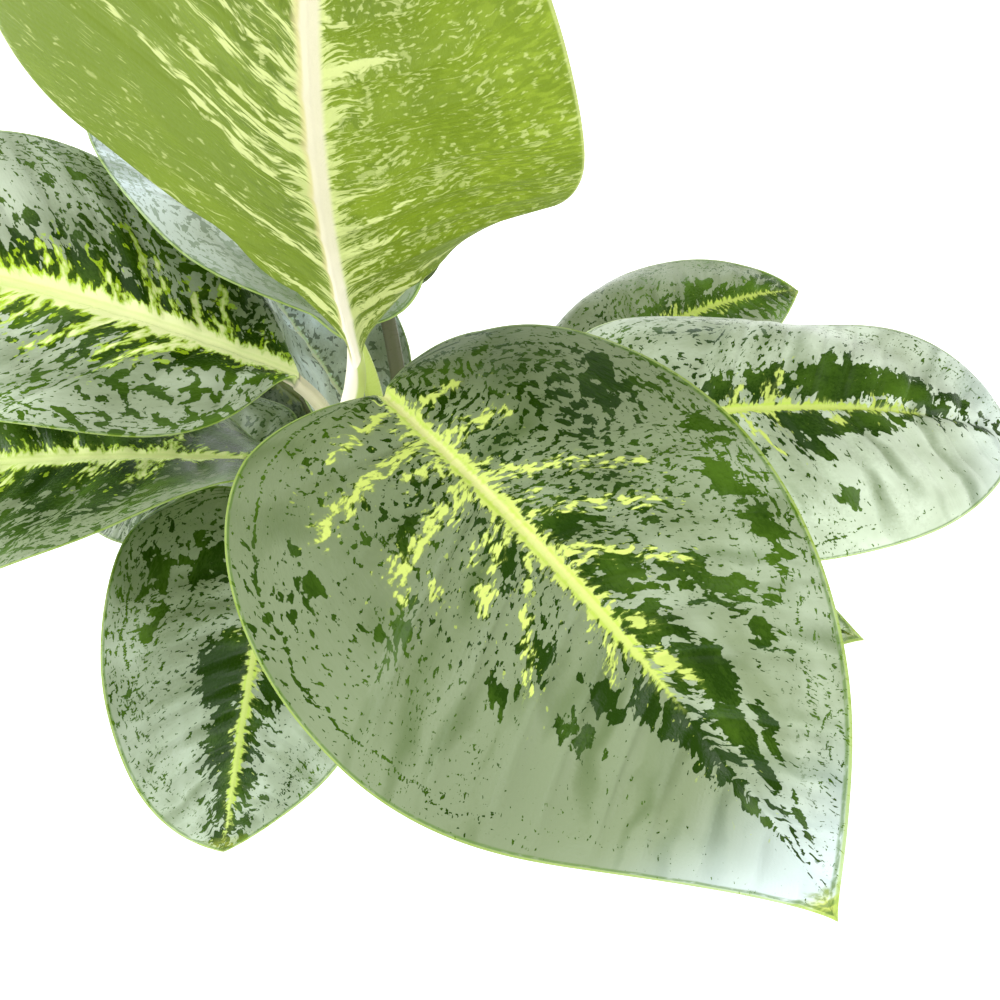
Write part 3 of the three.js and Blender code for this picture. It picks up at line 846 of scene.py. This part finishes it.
def start_of_leaf(name, leaf, seed, gloss):
    """A finish, its maps, the place in millimetres, and noise at that place."""
    finish = Finish(name + "_finish", Specular_IOR_Level=gloss)
    maps = leaf_maps(finish)
    along_mm = maps["rib"] * (leaf["length"] * 1000)
    across_mm = maps["across"] * (leaf["width"] * 500)

    def spots(number, scale, detail):
        return finish.noise(finish.point(along_mm, across_mm, seed + number), scale, detail)

    return finish, maps, along_mm, across_mm, spots


# %% Mature leaf finish
def mature_leaf_finish(name, leaf, look, seed):
    finish, m, along_mm, _, spots = start_of_leaf(name, leaf, seed, 0.13)
    share, off, edge, margin = m["share"], m["off"], m["edge"], m["margin"]
    length = leaf["length"] * 1000

    wander = spots(0, 0.09, 1.0)
    bent = (along_mm + wander * 5) / look["grain_size"]
    swept_mm = (share - m["rib"]) * length
    out = m["side"] * (off * off + swept_mm * swept_mm) ** 0.5 / look["grain_size"]

    def islands(width, length, number, detail=3.0):
        """Noise whose islands are so many millimetres wide, and long across the blade."""
        return finish.noise(finish.point(bent / width, out / length, seed + number), 1.0, detail)

    flecks = islands(1.1, 2.3, 0)
    blobs = islands(2.6, 4.6, 6)
    specks = islands(0.55, 1.0, 7, 1.0)
    clump = spots(3, 0.075, 2.0) - 0.5
    rim_place = finish.point(share * (length / 2.4), margin * m["side"] / 0.9, seed + 8)
    rim_flecks = finish.noise(rim_place, 1.0, 3.0, 0.55)

    # Dark green: bold patches, a zone beside the midrib, crowded flecks at the base, fine specks
    rise = share.rise(look["green_from"], look["green_from"] + 0.3)
    fall = 1 - share.rise(look["green_to"] - 0.25, look["green_to"])
    zone_half = rise * fall * look["green"] + 0.01
    zone = 1 - (off / zone_half).rise(0.1, 1.5)
    at_base = (1 - share.rise(0.28, 0.62)) * (1 - edge.rise(0.5, 0.95) * 0.6)
    bold = (m["patch"] + (blobs - 0.5) * 12 + (flecks - 0.5) * 5).rise(*BOLD_CUT)
    crowd = zone * 0.25 + clump * 0.3 + (look["open_flecks"] - 0.35) * 0.16
    dark = bold.most((blobs * 0.8 + flecks * 0.2 + crowd).rise(*BLOB_CUT))
    on_right = 1 - m["side"].rise(-1, 1)
    one_sided = 1 - on_right * (1 - look["right_flecks"]) * (off / 18).least(1.0)
    base_crowd = at_base * one_sided * look["base_flecks"] * 0.12 + clump * 0.25
    base_crowd = base_crowd - on_right * share.rise(0.4, 0.6) * (1 - look["right_flecks"]) * 0.06
    dark = dark.most((flecks + base_crowd + look["open_flecks"] * 0.05).rise(*FLECK_CUT))
    dark = dark.most((specks + zone * 0.06 + base_crowd * 0.5).rise(*SPECK_CUT))
    edge_crowd = edge.rise(0.6, 0.95) * look["edge_flecks"] * 0.18 + clump * 0.15
    edge_crowd = edge_crowd - share.rise(0.45, 0.8) * 0.07
    edge_crowd = edge_crowd - on_right * (1 - look["right_flecks"]) * 0.18
    dark = dark.most((rim_flecks + edge_crowd).rise(*RIM_CUT) * edge.rise(0.65, 0.85))
    line_wander = finish.noise(finish.point(share * 9, m["side"] * 3, seed + 12), 1.0, 3.0) - 0.5
    line_gap = (margin - 6 - line_wander * 12).size()
    line = (1 - line_gap.rise(0.1, 0.9)) * (0.14 - share.rise(0.4, 0.7) * 0.08) + clump * 0.1
    line = line - on_right * share.rise(0.45, 0.6) * (1 - look["right_flecks"]) * 0.1
    dark = dark.most((specks * 0.5 + rim_flecks * 0.5 + line).rise(*LINE_CUT) * edge.rise(0.55, 0.75))

    # Lemon: a band along the midrib with streaks, and loose spots near it
    ragged = islands(1.1, 3.0, 5)
    inside = m["lemon"] + (ragged - 0.5) * (3 + (off / 3).least(1.0) * 8)
    before_end = 1 - share.rise(look["lemon_end"] - 0.06, look["lemon_end"])
    lemon = inside.rise(*LEMON_CUT) * before_end
    glow = (inside / 1.5 + 1).most(0.0) * before_end
    near = (m["lemon"] / 9 + 1).most(0.0) * (1 - share.rise(look["lemon_end"], 1.0))
    loose_lemon = (islands(1.2, 2.2, 9) + near * look["light_flecks"] * 0.25).rise(*LOOSE_CUT)
    loose_lemon = loose_lemon * near.rise(0.0, 0.4)
    core = (1 - (off + (ragged - 0.5) * 5).rise(0.2, 1.8)) * (1 - share.rise(0.1, 0.6)) * lemon

    cloud = spots(2, 0.05, 3.0)
    grain = spots(4, 1.1, 3.0)
    # Painted light and shade of the quilting: bands along the veins make the silver paler on the
    # crests and darker in the hollows
    painted_swell_shade = finish.noise(finish.point(bent / 7, out / 30, seed + 10), 1.0, 1.0) - 0.5
    cooler = (1 - on_right) * share.rise(-0.1, 0.5) * look["left_cool"]
    pale = (cloud - 0.5) * 1.8 + look["cool"] + share * 0.3 + cooler
    silver = finish.blend(SILVER, SILVER_COOL, pale + painted_swell_shade * 0.6)
    # painted sheen: bluish white laid over the silver by a look's blue, stronger away from the base
    silver = finish.blend(silver, SILVER_BLUE_SHEEN, look["blue"] * (share.rise(-0.1, 0.7) + cloud - 0.5))
    # Partly painted shade, partly tone: greener, darker silver at the base under the leaves above and
    # in the quilting's hollows, with random clumps and grain
    shade_and_tone = at_base * 0.3 + clump * 0.8 + painted_swell_shade * 1.3 + (grain - 0.5) * 0.5
    silver = finish.layers(
        silver,
        (SILVER_GREEN, shade_and_tone.most(0.0)),
        # painted shadow: darker silver near the base, where a leaf above casts its shadow
        (PAINTED_SHADE, (1 - share.rise(0.0, 0.4)) * look["painted_base_shadow"] * 0.7),
        # painted shade of the quilting, plus the even darker silver that a look's shade sets for a
        # whole leaf
        (PAINTED_SHADE, (painted_swell_shade - 0.02).most(0.0) * 2.6 + look["shade"]),
        # painted sheen: the silver turns bluish white towards the tip, as a reflection would
        (PAINTED_SHEEN, share.rise(0.7, 0.95) * look["painted_tip_sheen"]),
    )
    depth = edge.rise(0.15, 0.9) * 0.4 + (cloud - 0.5) * 2.2 + (grain - 0.5) * 0.5
    green = finish.blend(FLECK, FLECK_PALE, depth + look["leafy"])
    colour = finish.blend(silver, green, dark * (1 - look["faint"]))
    colour = finish.blend(colour, LIME, glow * glow * 0.2)
    # painted light: on leaves that the lamps light too little, the lemon is made paler and brighter,
    # with a deeper lime beside it
    lemon_tone = finish.blend(LEMON, LEMON_PAINTED_LIT, look["painted_lemon_light"])
    lime_tone = finish.blend(LIME, LIME_DEEP, look["painted_lemon_light"])
    deep = inside.rise(-0.3, 0.9 + look["painted_lemon_light"] * 1.4) - share.rise(0.25, 0.65) * 0.35
    lemon_colour = finish.blend(lime_tone, lemon_tone, deep * (1 - look["lime"] * 0.8))
    # the same painted bluish sheen laid over the lemon
    lemon_colour = finish.blend(lemon_colour, SILVER_BLUE_SHEEN, look["blue"] * 0.35)
    colour = finish.layers(
        colour,
        (lemon_colour, (loose_lemon * 0.7).most(lemon)),
        (CREAM, core * (1 - look["lime"]) * (1 - look["painted_lemon_light"]) * 0.9),
    )
    # Painted shade: darker lime lines either side of the midrib, in its groove
    groove = 1 - (off - 1.2).size().rise(0.1, 0.6)
    groove = groove * lemon * (0.15 + ragged * 0.4) * (1 - look["painted_lemon_light"] * 0.6)
    colour = finish.blend(colour, LIME_DEEP, groove)
    tip_colour = finish.blend(TIP_LEMON, FLECK_PALE, rim_flecks.rise(0.46, 0.56) * 0.7)
    tip_patch = (share + (rim_flecks - 0.5) * 0.08).rise(0.93, 0.96)
    colour = finish.blend(colour, tip_colour, tip_patch * look["tip_patch"] * 0.9)
    rim_line = margin.rise(0.4, 0.6) * (1 - margin.rise(0.8, 1.2))
    colour = finish.layers(
        colour,
        (FLECK_PALE, rim_line * (rim_flecks + 0.1).rise(0.4, 0.6) * 0.7),
        (RIM, (1 - margin.rise(0.3, 0.6)) * 0.7),
    )

    on_blade = 1 - m["stalk"].least(1.0)
    under_green = finish.blend(srgb(140, 162, 98), FLECK_PALE, dark * 0.5)
    under_green = finish.blend(under_green, STALK_CREAM, (1 - off.rise(1.0, 2.6)))
    colour = finish.blend(colour, under_green, m["under"] * on_blade)
    streaks = finish.noise(finish.point(m["across"] * 900, share * 14, seed), 1.0, 2.0)
    down = (m["stalk"] - 1) * 1.1 + streaks * 0.5 - 0.2
    stalk_colour = finish.blend(STALK_CREAM, STALK_GREEN, down)
    stalk_colour = finish.blend(stalk_colour, LIME, look["stalk_lime"])
    colour = finish.layers(
        colour,
        (stalk_colour, m["stalk"].least(1.0)),
        # painted shade: leaves deep inside the plant darkened towards near black
        (srgb(36, 48, 24), look["painted_deep_shade"]),
    )

    fine_veins = (along_mm * 5.2 + wander * 12).wave() * edge.rise(0.03, 0.15)
    height = fine_veins * 0.08 + grain * 1.3 + lemon * 0.5 - dark * 0.3
    rough = 0.32 + (cloud - 0.5) * 0.15 + (grain - 0.5) * 0.2 - dark * 0.04 + m["under"] * 0.22
    bump = finish.bump(height, BUMP_DEPTH, BUMP_STRENGTH)
    return finish.paint(Base_Color=colour, Roughness=rough, Normal=bump)


# %% [markdown]
# ## Finish of the young leaf
#
# The newest leaf stands up with its lower face to the viewer. It isn't silver yet: light comes
# through a yellow-green blade, with a raised cream midrib, cream streaks along the side veins and
# pale specks between them. The glow of the light coming through is painted into the greens, which
# are partly the blade's own colour. Both faces get this finish, because a young blade is thin.

# %% Young leaf finish
# Partly painted light: the greens hold the glow of light coming through the thin blade
YOUNG_GREEN = srgb(102, 122, 22)
YOUNG_LIGHT = srgb(132, 152, 40)
YOUNG_DARK = srgb(84, 104, 14)
YOUNG_CREAM = srgb(190, 198, 126)
YOUNG_HEART = srgb(196, 190, 160)
YOUNG_NECK = srgb(236, 228, 206)
# Painted shade: the tan of the raised midrib's shaded side
YOUNG_RIB_SHADE = srgb(186, 176, 122)


def young_leaf_finish(name, leaf, seed):
    finish, m, along_mm, across_mm, spots = start_of_leaf(name, leaf, seed, 0.18)
    share, off, edge, margin = m["share"], m["off"], m["edge"], m["margin"]
    wander = spots(0, 0.09, 1.0)
    bent = along_mm + wander * 5

    def islands(width, length, number, detail=3.0):
        """Noise whose islands are so many millimetres wide, and long across the blade."""
        place = finish.point(bent / width, across_mm / length, seed + number)
        return finish.noise(place, 1.0, detail)

    clump = spots(3, 0.085, 2.0) - 0.5
    near = 1 - (off / 34).rise(0.0, 1.0)
    right = 1 - m["side"].rise(-0.5, 0.5)
    fleck_crowd = near * 0.03 + clump * 0.4 + (1 - right) * 0.035 - right * 0.01
    dots = (islands(0.9, 2.2, 0) + fleck_crowd).rise(0.6, 0.7)
    dots = dots.most((islands(2.0, 4.0, 17) + fleck_crowd).rise(0.65, 0.73) * 0.7)
    lines = (islands(0.6, 16, 11, 2.0) + near * 0.04 + clump * 0.2).rise(0.68, 0.73)
    light = (dots * 0.55).most(lines * 0.6)
    ragged = islands(0.9, 4.0, 5, 2.0)
    bunches = (islands(5, 50, 18, 1.0) - 0.5) * 22
    fringe = off - 1.2 - (islands(1.0, 7, 14) - 0.48) * 22 - bunches.most(-3.0)
    fringe = (1 - fringe.rise(-0.3, 1.8)) * (0.95 - right * 0.1)
    inside = m["lemon"] + (ragged - 0.5) * 6
    streak = inside.rise(*LEMON_CUT).most(fringe * 0.9)
    cloud = spots(2, 0.05, 3.0)
    grain = spots(4, 1.3, 3.0)
    veins = (along_mm * 4.2 + wander * 6).wave() * edge.rise(0.04, 0.2)
    mottle = islands(1.6, 4.0, 15).rise(0.48, 0.58)
    lit = (cloud - 0.5) * 1.6 + (1 - right) * (0.1 + mottle * 0.5)
    ground = finish.blend(YOUNG_GREEN, YOUNG_LIGHT, lit)
    shade = near * (0.15 + mottle * 0.6) + clump * 1.6 * near + (grain - 0.5) * 0.3
    ground = finish.blend(ground, YOUNG_DARK, shade.most(0.0))
    colour = finish.blend(ground, YOUNG_CREAM, light.most(streak * 0.92))
    # painted shade: a tan strip along one flank of the raised midrib
    painted_rib_shade = (1 - off.rise(1.6, 3.2)) * right
    colour = finish.blend(colour, YOUNG_RIB_SHADE, painted_rib_shade * 0.8)
    heart = finish.blend(YOUNG_NECK, YOUNG_HEART, share.rise(0.0, 0.4))
    colour = finish.layers(
        colour,
        (heart, 1 - off.rise(0.9, 1.9)),
        (YOUNG_CREAM, (1 - margin.rise(0.2, 0.5)) * 0.5),
    )
    lime_line = finish.blend(YOUNG_NECK, LIME, (m["across"] * 30).rise(0.2, 0.7) * 0.9)
    colour = finish.blend(colour, lime_line, m["stalk"].least(1.0))
    height = veins * 0.3 + grain * 1.2 + light * 0.2
    bump = finish.bump(height, BUMP_DEPTH, BUMP_STRENGTH)
    return finish.paint(Base_Color=colour, Roughness=0.46 + grain * 0.15, Normal=bump)


# %% Grow every leaf
LARGE = ("leaf_front", "leaf_upright", "leaf_left", "leaf_right")
for number, (name, own) in enumerate(LEAVES.items()):
    leaf = {**USUAL, **own}
    look = {**USUAL_LOOK, **LOOKS.get(name, {})}
    seed = 20 + 3 * number
    if name == "leaf_upright":
        finish = young_leaf_finish(name, leaf, seed)
    else:
        finish = mature_leaf_finish(name, leaf, look, seed)
    fineness = (1.25 if name in LARGE else 0.85) * 1
    piece = leaf_piece("fine_" + name, leaf, look, seed, finish, fineness)
    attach(piece, "root")
    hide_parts(name)
    print(piece.name, len(piece.data.polygons), "faces")

# %% [markdown]
# ## Stems
#
# The stems are short canes. Old leaves have fallen off and left rings, closer together than the
# leaves are now, each a little tilted, with the cane drawn in above it. A stem ends in a bud: the
# next leaf, still rolled up, so one edge of it runs round the cone as a raised seam.

# %% Pieces made of rings
def ring_piece(name, rings, finish, maps):
    """A closed skin over a table of rings, with each end drawn in to its centre."""
    count, around = rings.shape[:2]
    k = np.arange(around)
    after = (k + 1) % around
    row = np.arange(count - 1)[:, None] * around
    quads = np.stack([row + k, row + after, row + around + after, row + around + k], axis=-1)
    first, last, top_row = count * around, count * around + 1, (count - 1) * around
    caps = [(first, b, a) for a, b in zip(k.tolist(), after.tolist())]
    caps += [(last, top_row + a, top_row + b) for a, b in zip(k.tolist(), after.tolist())]

    def with_ends(table):
        ends = [table[0].mean(axis=0), table[-1].mean(axis=0)]
        return np.concatenate([table.reshape(-1, table.shape[-1]), ends])

    faces = quads.reshape(-1, 4).tolist() + caps
    piece = make_piece(name, with_ends(rings).tolist(), faces, [finish])
    corner = np.zeros(len(piece.data.loops), dtype=np.int32)
    piece.data.loops.foreach_get("vertex_index", corner)
    for map_name, table in maps.items():
        add_map(piece.data, map_name, with_ends(table)[corner])
    return piece


def cut(piece, cutters):
    """Cut holes into a piece and put the cutters away."""
    for cutter in cutters:
        hole = piece.modifiers.new("hole", "BOOLEAN")
        hole.operation = "DIFFERENCE"
        hole.object = cutter
    evaluated = piece.evaluated_get(bpy.context.evaluated_depsgraph_get())
    mesh = bpy.data.meshes.new_from_object(evaluated)
    piece.modifiers.clear()
    piece.data = mesh
    for cutter in cutters:
        bpy.data.objects.remove(cutter)


def dress(piece, node, crease_angle=40):
    piece.data.set_sharp_from_angle(angle=math.radians(crease_angle))
    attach(piece, "root")
    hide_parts(node)
    print(piece.name, len(piece.data.polygons), "faces")


# %% The shape of a stem
SCAR_RIDGE = 0.4 * MM
WAIST = 0.35 * MM
CLEARANCE = 0.3 * MM


def stem_rings(curve, seed, sides, cane_rings, bud_rings, grow=0.0):
    """Rings from root to bud tip, the gap to the nearest scar, and the height on the bud."""
    rng = np.random.default_rng(seed)
    t = np.concatenate([np.linspace(0, 1, cane_rings), np.ones(bud_rings)])
    rise = np.concatenate([np.zeros(cane_rings), np.linspace(0, 1, bud_rings + 1)[1:]])
    place, along = bezier(curve, t)
    place = place + along * (rise * BUD_LENGTH)[:, None]
    if grow:
        place[0] -= along[0] * grow
    walked = np.cumsum(np.linalg.norm(np.diff(place, axis=0, prepend=place[:1]), axis=1))
    angle = np.arange(sides) * 2 * math.pi / sides
    scars = np.cumsum(rng.uniform(4.5, 8.5, 24)) * MM
    tilt, lean = rng.uniform(0.3, 1.1, 24) * MM, rng.uniform(0, 6.28, 24)
    above = walked[:, None, None] - scars - tilt * np.cos(angle[None, :, None] - lean)
    scar_gap = np.min(np.abs(above), axis=-1)
    since = np.min(np.where(above > 0, above, 1.0), axis=-1)
    cane = STEM_FOOT_RADIUS + (STEM_TOP_RADIUS - STEM_FOOT_RADIUS) * t[:, None] + grow
    rings_on = (rise == 0)[:, None] * (grow == 0)
    ridge = SCAR_RIDGE * np.exp(-((scar_gap / (0.5 * MM)) ** 2))
    waist = WAIST * np.exp(-((since - 2 * MM) / (1.6 * MM)) ** 2)
    cone = np.interp(rise, [0, 0.35, 0.7, 0.93, 1], [1, 0.66, 0.36, 0.13, 0.03])[:, None]
    seam = (((angle[None, :] - 3.5 * rise[:, None]) / (2 * math.pi)) % 1) * 0.16 * (rise > 0)[:, None]
    radius = cane * cone * (1 - seam * (grow == 0)) + rings_on * (ridge - waist)
    side = np.array([1.0, 0, 0]) - along * along[:, :1]
    side /= np.linalg.norm(side, axis=1)[:, None]
    other = np.cross(along, side)
    around = side[:, None, :] * np.cos(angle)[None, :, None]
    around = around + other[:, None, :] * np.sin(angle)[None, :, None]
    rings = place[:, None, :] + around * radius[..., None]
    return rings, np.stack([scar_gap * 10, rise[:, None] + 0 * scar_gap], axis=-1)


# %% Stem finish and the three stems
CANE = srgb(150, 152, 104)
CANE_YOUNG = srgb(178, 190, 128)
SCAR = srgb(132, 112, 82)
BUD = srgb(172, 192, 112)


def stem_finish(name, seed):
    finish = Finish(name + "_finish", Specular_IOR_Level=0.4)
    gap, bud = finish.map_pair("Rings")
    gap_mm = gap * 100
    x, y, z = finish.parts(finish.place())
    fibres = finish.noise(finish.point(x * 1500, y * 1500, z * 160 + seed), 1.0, 3.0)
    mottle = finish.noise(finish.point(x * 220, y * 220, z * 180 + seed), 1.0, 4.0, 0.6)
    pores = finish.noise(finish.point(x * 1100, y * 1100, z * 700 + seed), 1.0, 1.0).rise(0.68, 0.74)
    young = z.rise(0.1, 0.17)
    colour = finish.blend(CANE, CANE_YOUNG, young + (mottle - 0.5))
    colour = finish.blend(colour, SCAR, (mottle - young * 0.2).rise(0.5, 0.7) * 0.5)
    scar = 1 - gap_mm.rise(0.25, 0.9)
    colour = finish.layers(
        colour,
        (SCAR, scar * (1 - bud.rise(0.0, 0.02)) * 0.85),
        (srgb(222, 214, 186), pores * 0.5),
    )
    bud_colour = finish.blend(BUD, srgb(226, 230, 170), fibres.rise(0.45, 0.7) * 0.7)
    bud_colour = finish.blend(bud_colour, srgb(110, 146, 62), bud.rise(0.5, 1.1) * 0.7)
    colour = finish.blend(colour, bud_colour, bud.rise(0.0, 0.04))
    bump = finish.bump(fibres + mottle * 0.8 + pores * 0.4, 0.15 * MM, 0.7)
    return finish.paint(Base_Color=colour, Roughness=0.5 + mottle * 0.25 - bud * 0.12, Normal=bump)


for number, (name, curve) in enumerate(STEMS.items()):
    seed = 80 + number
    rings, marks = stem_rings(curve, seed, 48, 200, 24)
    stem = ring_piece("fine_stem_" + name, rings, stem_finish("stem_" + name, seed), {"Rings": marks})
    dress(stem, "stem_" + name)

# %% [markdown]
# ## Pot
#
# The photograph's edge cuts the pot off, so it is a plain grower's pot: tapered, with a stepped
# rim, turned as a profile with every corner eased, and with six drain holes in its floor. It is
# matte black-brown plastic, so its finish is fine grain, faint upright scuffs from handling,
# rubbed edges that are a little paler, and dusty splashes of soil towards the foot and rim.

# %% Pot profile and holes
POT_HEIGHT, RIM_HEIGHT, POT_FLOOR, POT_WALL = 0.115, 0.014, 0.003, 0.002
FOOT, SHOULDER, RIM_RADIUS = 0.048, 0.063, 0.067
DRAIN_HOLES, DRAIN_RADIUS, DRAIN_CIRCLE = 6, 0.004, 0.034


def eased(corners, steps=5):
    """A polyline whose corners (x, y, ease) are rounded off over the distance ease."""
    points = [np.array(corners[0][:2])]
    for before, here, after in zip(corners, corners[1:], corners[2:]):
        at = np.array(here[:2])
        back, on = np.array(before[:2]) - at, np.array(after[:2]) - at
        start = at + back / np.linalg.norm(back) * here[2]
        end = at + on / np.linalg.norm(on) * here[2]
        for t in np.linspace(0, 1, steps):
            points.append(start * (1 - t) ** 2 + at * 2 * t * (1 - t) + end * t**2)
    points.append(np.array(corners[-1][:2]))
    return np.array(points)


def turned(profile, sides, start=0.0):
    """Rings from turning a profile of (radius, height) about the pot's axis."""
    angle = start + np.arange(sides) * 2 * math.pi / sides
    x = profile[:, :1] * np.cos(angle)
    y = profile[:, :1] * np.sin(angle)
    return np.stack([x, y, profile[:, 1:] + 0 * x], axis=-1)


shoulder_height = POT_HEIGHT - RIM_HEIGHT
pot_corners = [
    (0.001, 0, 0), (FOOT, 0, 1.4 * MM), (SHOULDER, shoulder_height, 0.6 * MM),
    (RIM_RADIUS, shoulder_height, 1.2 * MM), (RIM_RADIUS, POT_HEIGHT, 1.1 * MM),
    (RIM_RADIUS - POT_WALL, POT_HEIGHT - 0.3 * MM, 0.6 * MM),
    (SHOULDER - POT_WALL, shoulder_height, 1.5 * MM), (FOOT - POT_WALL, POT_FLOOR, 1.5 * MM),
    (0.001, POT_FLOOR, 0),
]
pot_finish = Finish("pot_finish", Specular_IOR_Level=0.4)
where = pot_finish.place()
x, y, z = pot_finish.parts(where)
reach = (x * x + y * y) ** 0.5
grain = pot_finish.noise(where, 1400.0, 3.0)
cloud = pot_finish.noise(where, 26.0, 4.0, 0.6)
scuffs = pot_finish.noise(pot_finish.point(x * 900, y * 900, z * 45), 1.0, 3.0, 0.6)
splash = pot_finish.noise(where, 180.0, 4.0, 0.7)
low = 1 - z.rise(0.0, 0.04)
on_rim = (1 - (z - POT_HEIGHT).size().rise(0.4 * MM, 2.0 * MM)) * reach.rise(0.062, 0.064)
dusty = (splash + low * 0.14 + on_rim * 0.08).rise(0.6, 0.72)
pot_colour = pot_finish.blend(srgb(38, 37, 36), srgb(56, 54, 51), cloud.rise(0.35, 0.7))
pot_colour = pot_finish.layers(
    pot_colour,
    (srgb(92, 88, 82), scuffs.rise(0.62, 0.75) * 0.5),
    (srgb(104, 99, 92), on_rim * grain.rise(0.4, 0.6) * 0.6),
    (srgb(102, 92, 80), dusty * 0.4),
)
pot_rough = 0.52 + grain * 0.12 + dusty * 0.25 - scuffs.rise(0.6, 0.8) * 0.1
pot_bump = pot_finish.bump(grain + scuffs * 0.6 + dusty * 0.8, 0.08 * MM, 0.8)
pot_finish.paint(Base_Color=pot_colour, Roughness=pot_rough, Normal=pot_bump)

pot_sides = 160
rings = turned(eased(pot_corners), pot_sides)
pot = ring_piece("fine_pot", rings, pot_finish.material, {})
drills = []
for k in range(DRAIN_HOLES):
    angle = 2 * math.pi * k / DRAIN_HOLES
    rod = np.array([(DRAIN_RADIUS, -0.006), (DRAIN_RADIUS, 0.006)])
    centre = np.array([math.cos(angle), math.sin(angle), 0]) * DRAIN_CIRCLE
    drills.append(ring_piece(f"drill_{k}", turned(rod, 28) + centre, pot_finish.material, {}))
cut(pot, drills)
dress(pot, "pot", 35)

# %% [markdown]
# ## Soil
#
# Potting soil is crumbs of many sizes with white perlite and flakes of bark among them. Its top is
# a fine surface raised by seeded domes: at each place the tallest dome wins, and a map keeps which
# kind of grain that was and a tone of its own, so the finish can colour every grain by itself.

# %% Soil
SOIL_TOP = POT_HEIGHT - 0.013
SOIL_MOUND, SOIL_SETTLED, SOIL_LUMP = 0.003, 0.004, 0.0014
CRUMB, BARK, PERLITE = 0.0, 0.5, 1.0
GRAINS = [(1500, CRUMB, 0.9, 2.6), (70, BARK, 2.6, 5.0), (90, PERLITE, 1.0, 1.9)]


def pot_inside(height):
    share = (height - POT_FLOOR) / (shoulder_height - POT_FLOOR)
    return FOOT - POT_WALL + share * (SHOULDER - FOOT)


def grains_over(x, y, radius, rng):
    """Relief of the grains, the kind of grain and its tone; radii in millimetres."""
    relief, kind, tone = np.zeros_like(x), np.zeros_like(x), np.full_like(x, 0.5)
    for count, number, least, most in GRAINS:
        for _ in range(count):
            out, turn = radius * math.sqrt(rng.uniform()) * 0.985, rng.uniform(0, 6.28)
            size, spin = rng.uniform(least, most) * MM, rng.uniform(0, 6.28)
            stretch = 0.4 if number == BARK else rng.uniform(0.7, 1)
            dx, dy = x - out * math.cos(turn), y - out * math.sin(turn)
            u = dx * math.cos(spin) + dy * math.sin(spin)
            v = (dy * math.cos(spin) - dx * math.sin(spin)) / stretch
            dome = np.sqrt(np.maximum(size**2 - u**2 - v**2, 0)) * stretch * 0.9
            if number == BARK:
                dome = np.minimum(dome, 1.1 * MM + 0.2 * u)
            shade = rng.uniform()
            taller = dome > relief
            relief = np.where(taller, dome, relief)
            kind = np.where(taller, number, kind)
            tone = np.where(taller, shade, tone)
    return relief, kind, tone


rng = np.random.default_rng(7)
soil_sides, soil_rings = ((360, 78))
angle = np.arange(soil_sides) * 2 * math.pi / soil_sides
bottom = POT_FLOOR + CLEARANCE
soil_edge = pot_inside(SOIL_TOP - SOIL_MOUND) - CLEARANCE
soil_shoulder = SOIL_TOP - SOIL_MOUND - SOIL_SETTLED
share = np.linspace(1, 0.004, soil_rings)[:, None]
x, y = soil_edge * share * np.cos(angle), soil_edge * share * np.sin(angle)
lumps = SOIL_LUMP * share * (1 - share) * 4 * np.sin(190 * x + 1) * np.cos(230 * y)
mound = SOIL_TOP + SOIL_MOUND * (1 - share**2 - share**4) + lumps
relief, kind, tone = grains_over(x, y, soil_edge, rng)
top = np.stack([x, y, mound + relief - 0.8 * MM], axis=-1)
wall = np.array([(pot_inside(h) - CLEARANCE, h) for h in (bottom, soil_shoulder)])
rings = np.concatenate([turned(wall, soil_sides), top])
marks = np.concatenate([np.zeros((2, soil_sides, 2)), np.stack([kind, tone], axis=-1)])

soil_finish = Finish("soil_finish", Specular_IOR_Level=0.25)
kind, tone = soil_finish.map_pair("Grains")
where = soil_finish.place()
fine = soil_finish.noise(where, 1600.0, 4.0, 0.65)
damp = soil_finish.noise(where, 40.0, 3.0)
shade = tone * 0.7 + fine * 0.6 - 0.15
crumb_colour = soil_finish.blend(srgb(30, 21, 15), srgb(78, 58, 42), shade)
crumb_colour = soil_finish.blend(crumb_colour, srgb(20, 15, 11), damp.rise(0.45, 0.7) * 0.6)
bark_colour = soil_finish.blend(srgb(70, 42, 26), srgb(134, 92, 60), shade)
perlite_colour = soil_finish.blend(srgb(176, 172, 160), srgb(236, 234, 226), shade)
soil_colour = soil_finish.blend(crumb_colour, bark_colour, kind.rise(0.2, 0.4))
soil_colour = soil_finish.blend(soil_colour, perlite_colour, kind.rise(0.65, 0.85))
soil_bump = soil_finish.bump(fine, 0.35 * MM, 0.9)
soil_finish.paint(Base_Color=soil_colour, Roughness=0.95 - damp * 0.2, Normal=soil_bump)

soil = ring_piece("fine_soil", rings, soil_finish.material, {"Grains": marks})
plugs = []
for number, curve in enumerate(STEMS.values()):
    plug_rings, _ = stem_rings(curve, 0, 32, 24, 4, grow=2.5 * CLEARANCE)
    plugs.append(ring_piece(f"plug_{number}", plug_rings, soil_finish.material, {}))
cut(soil, plugs)
dress(soil, "soil", 60)
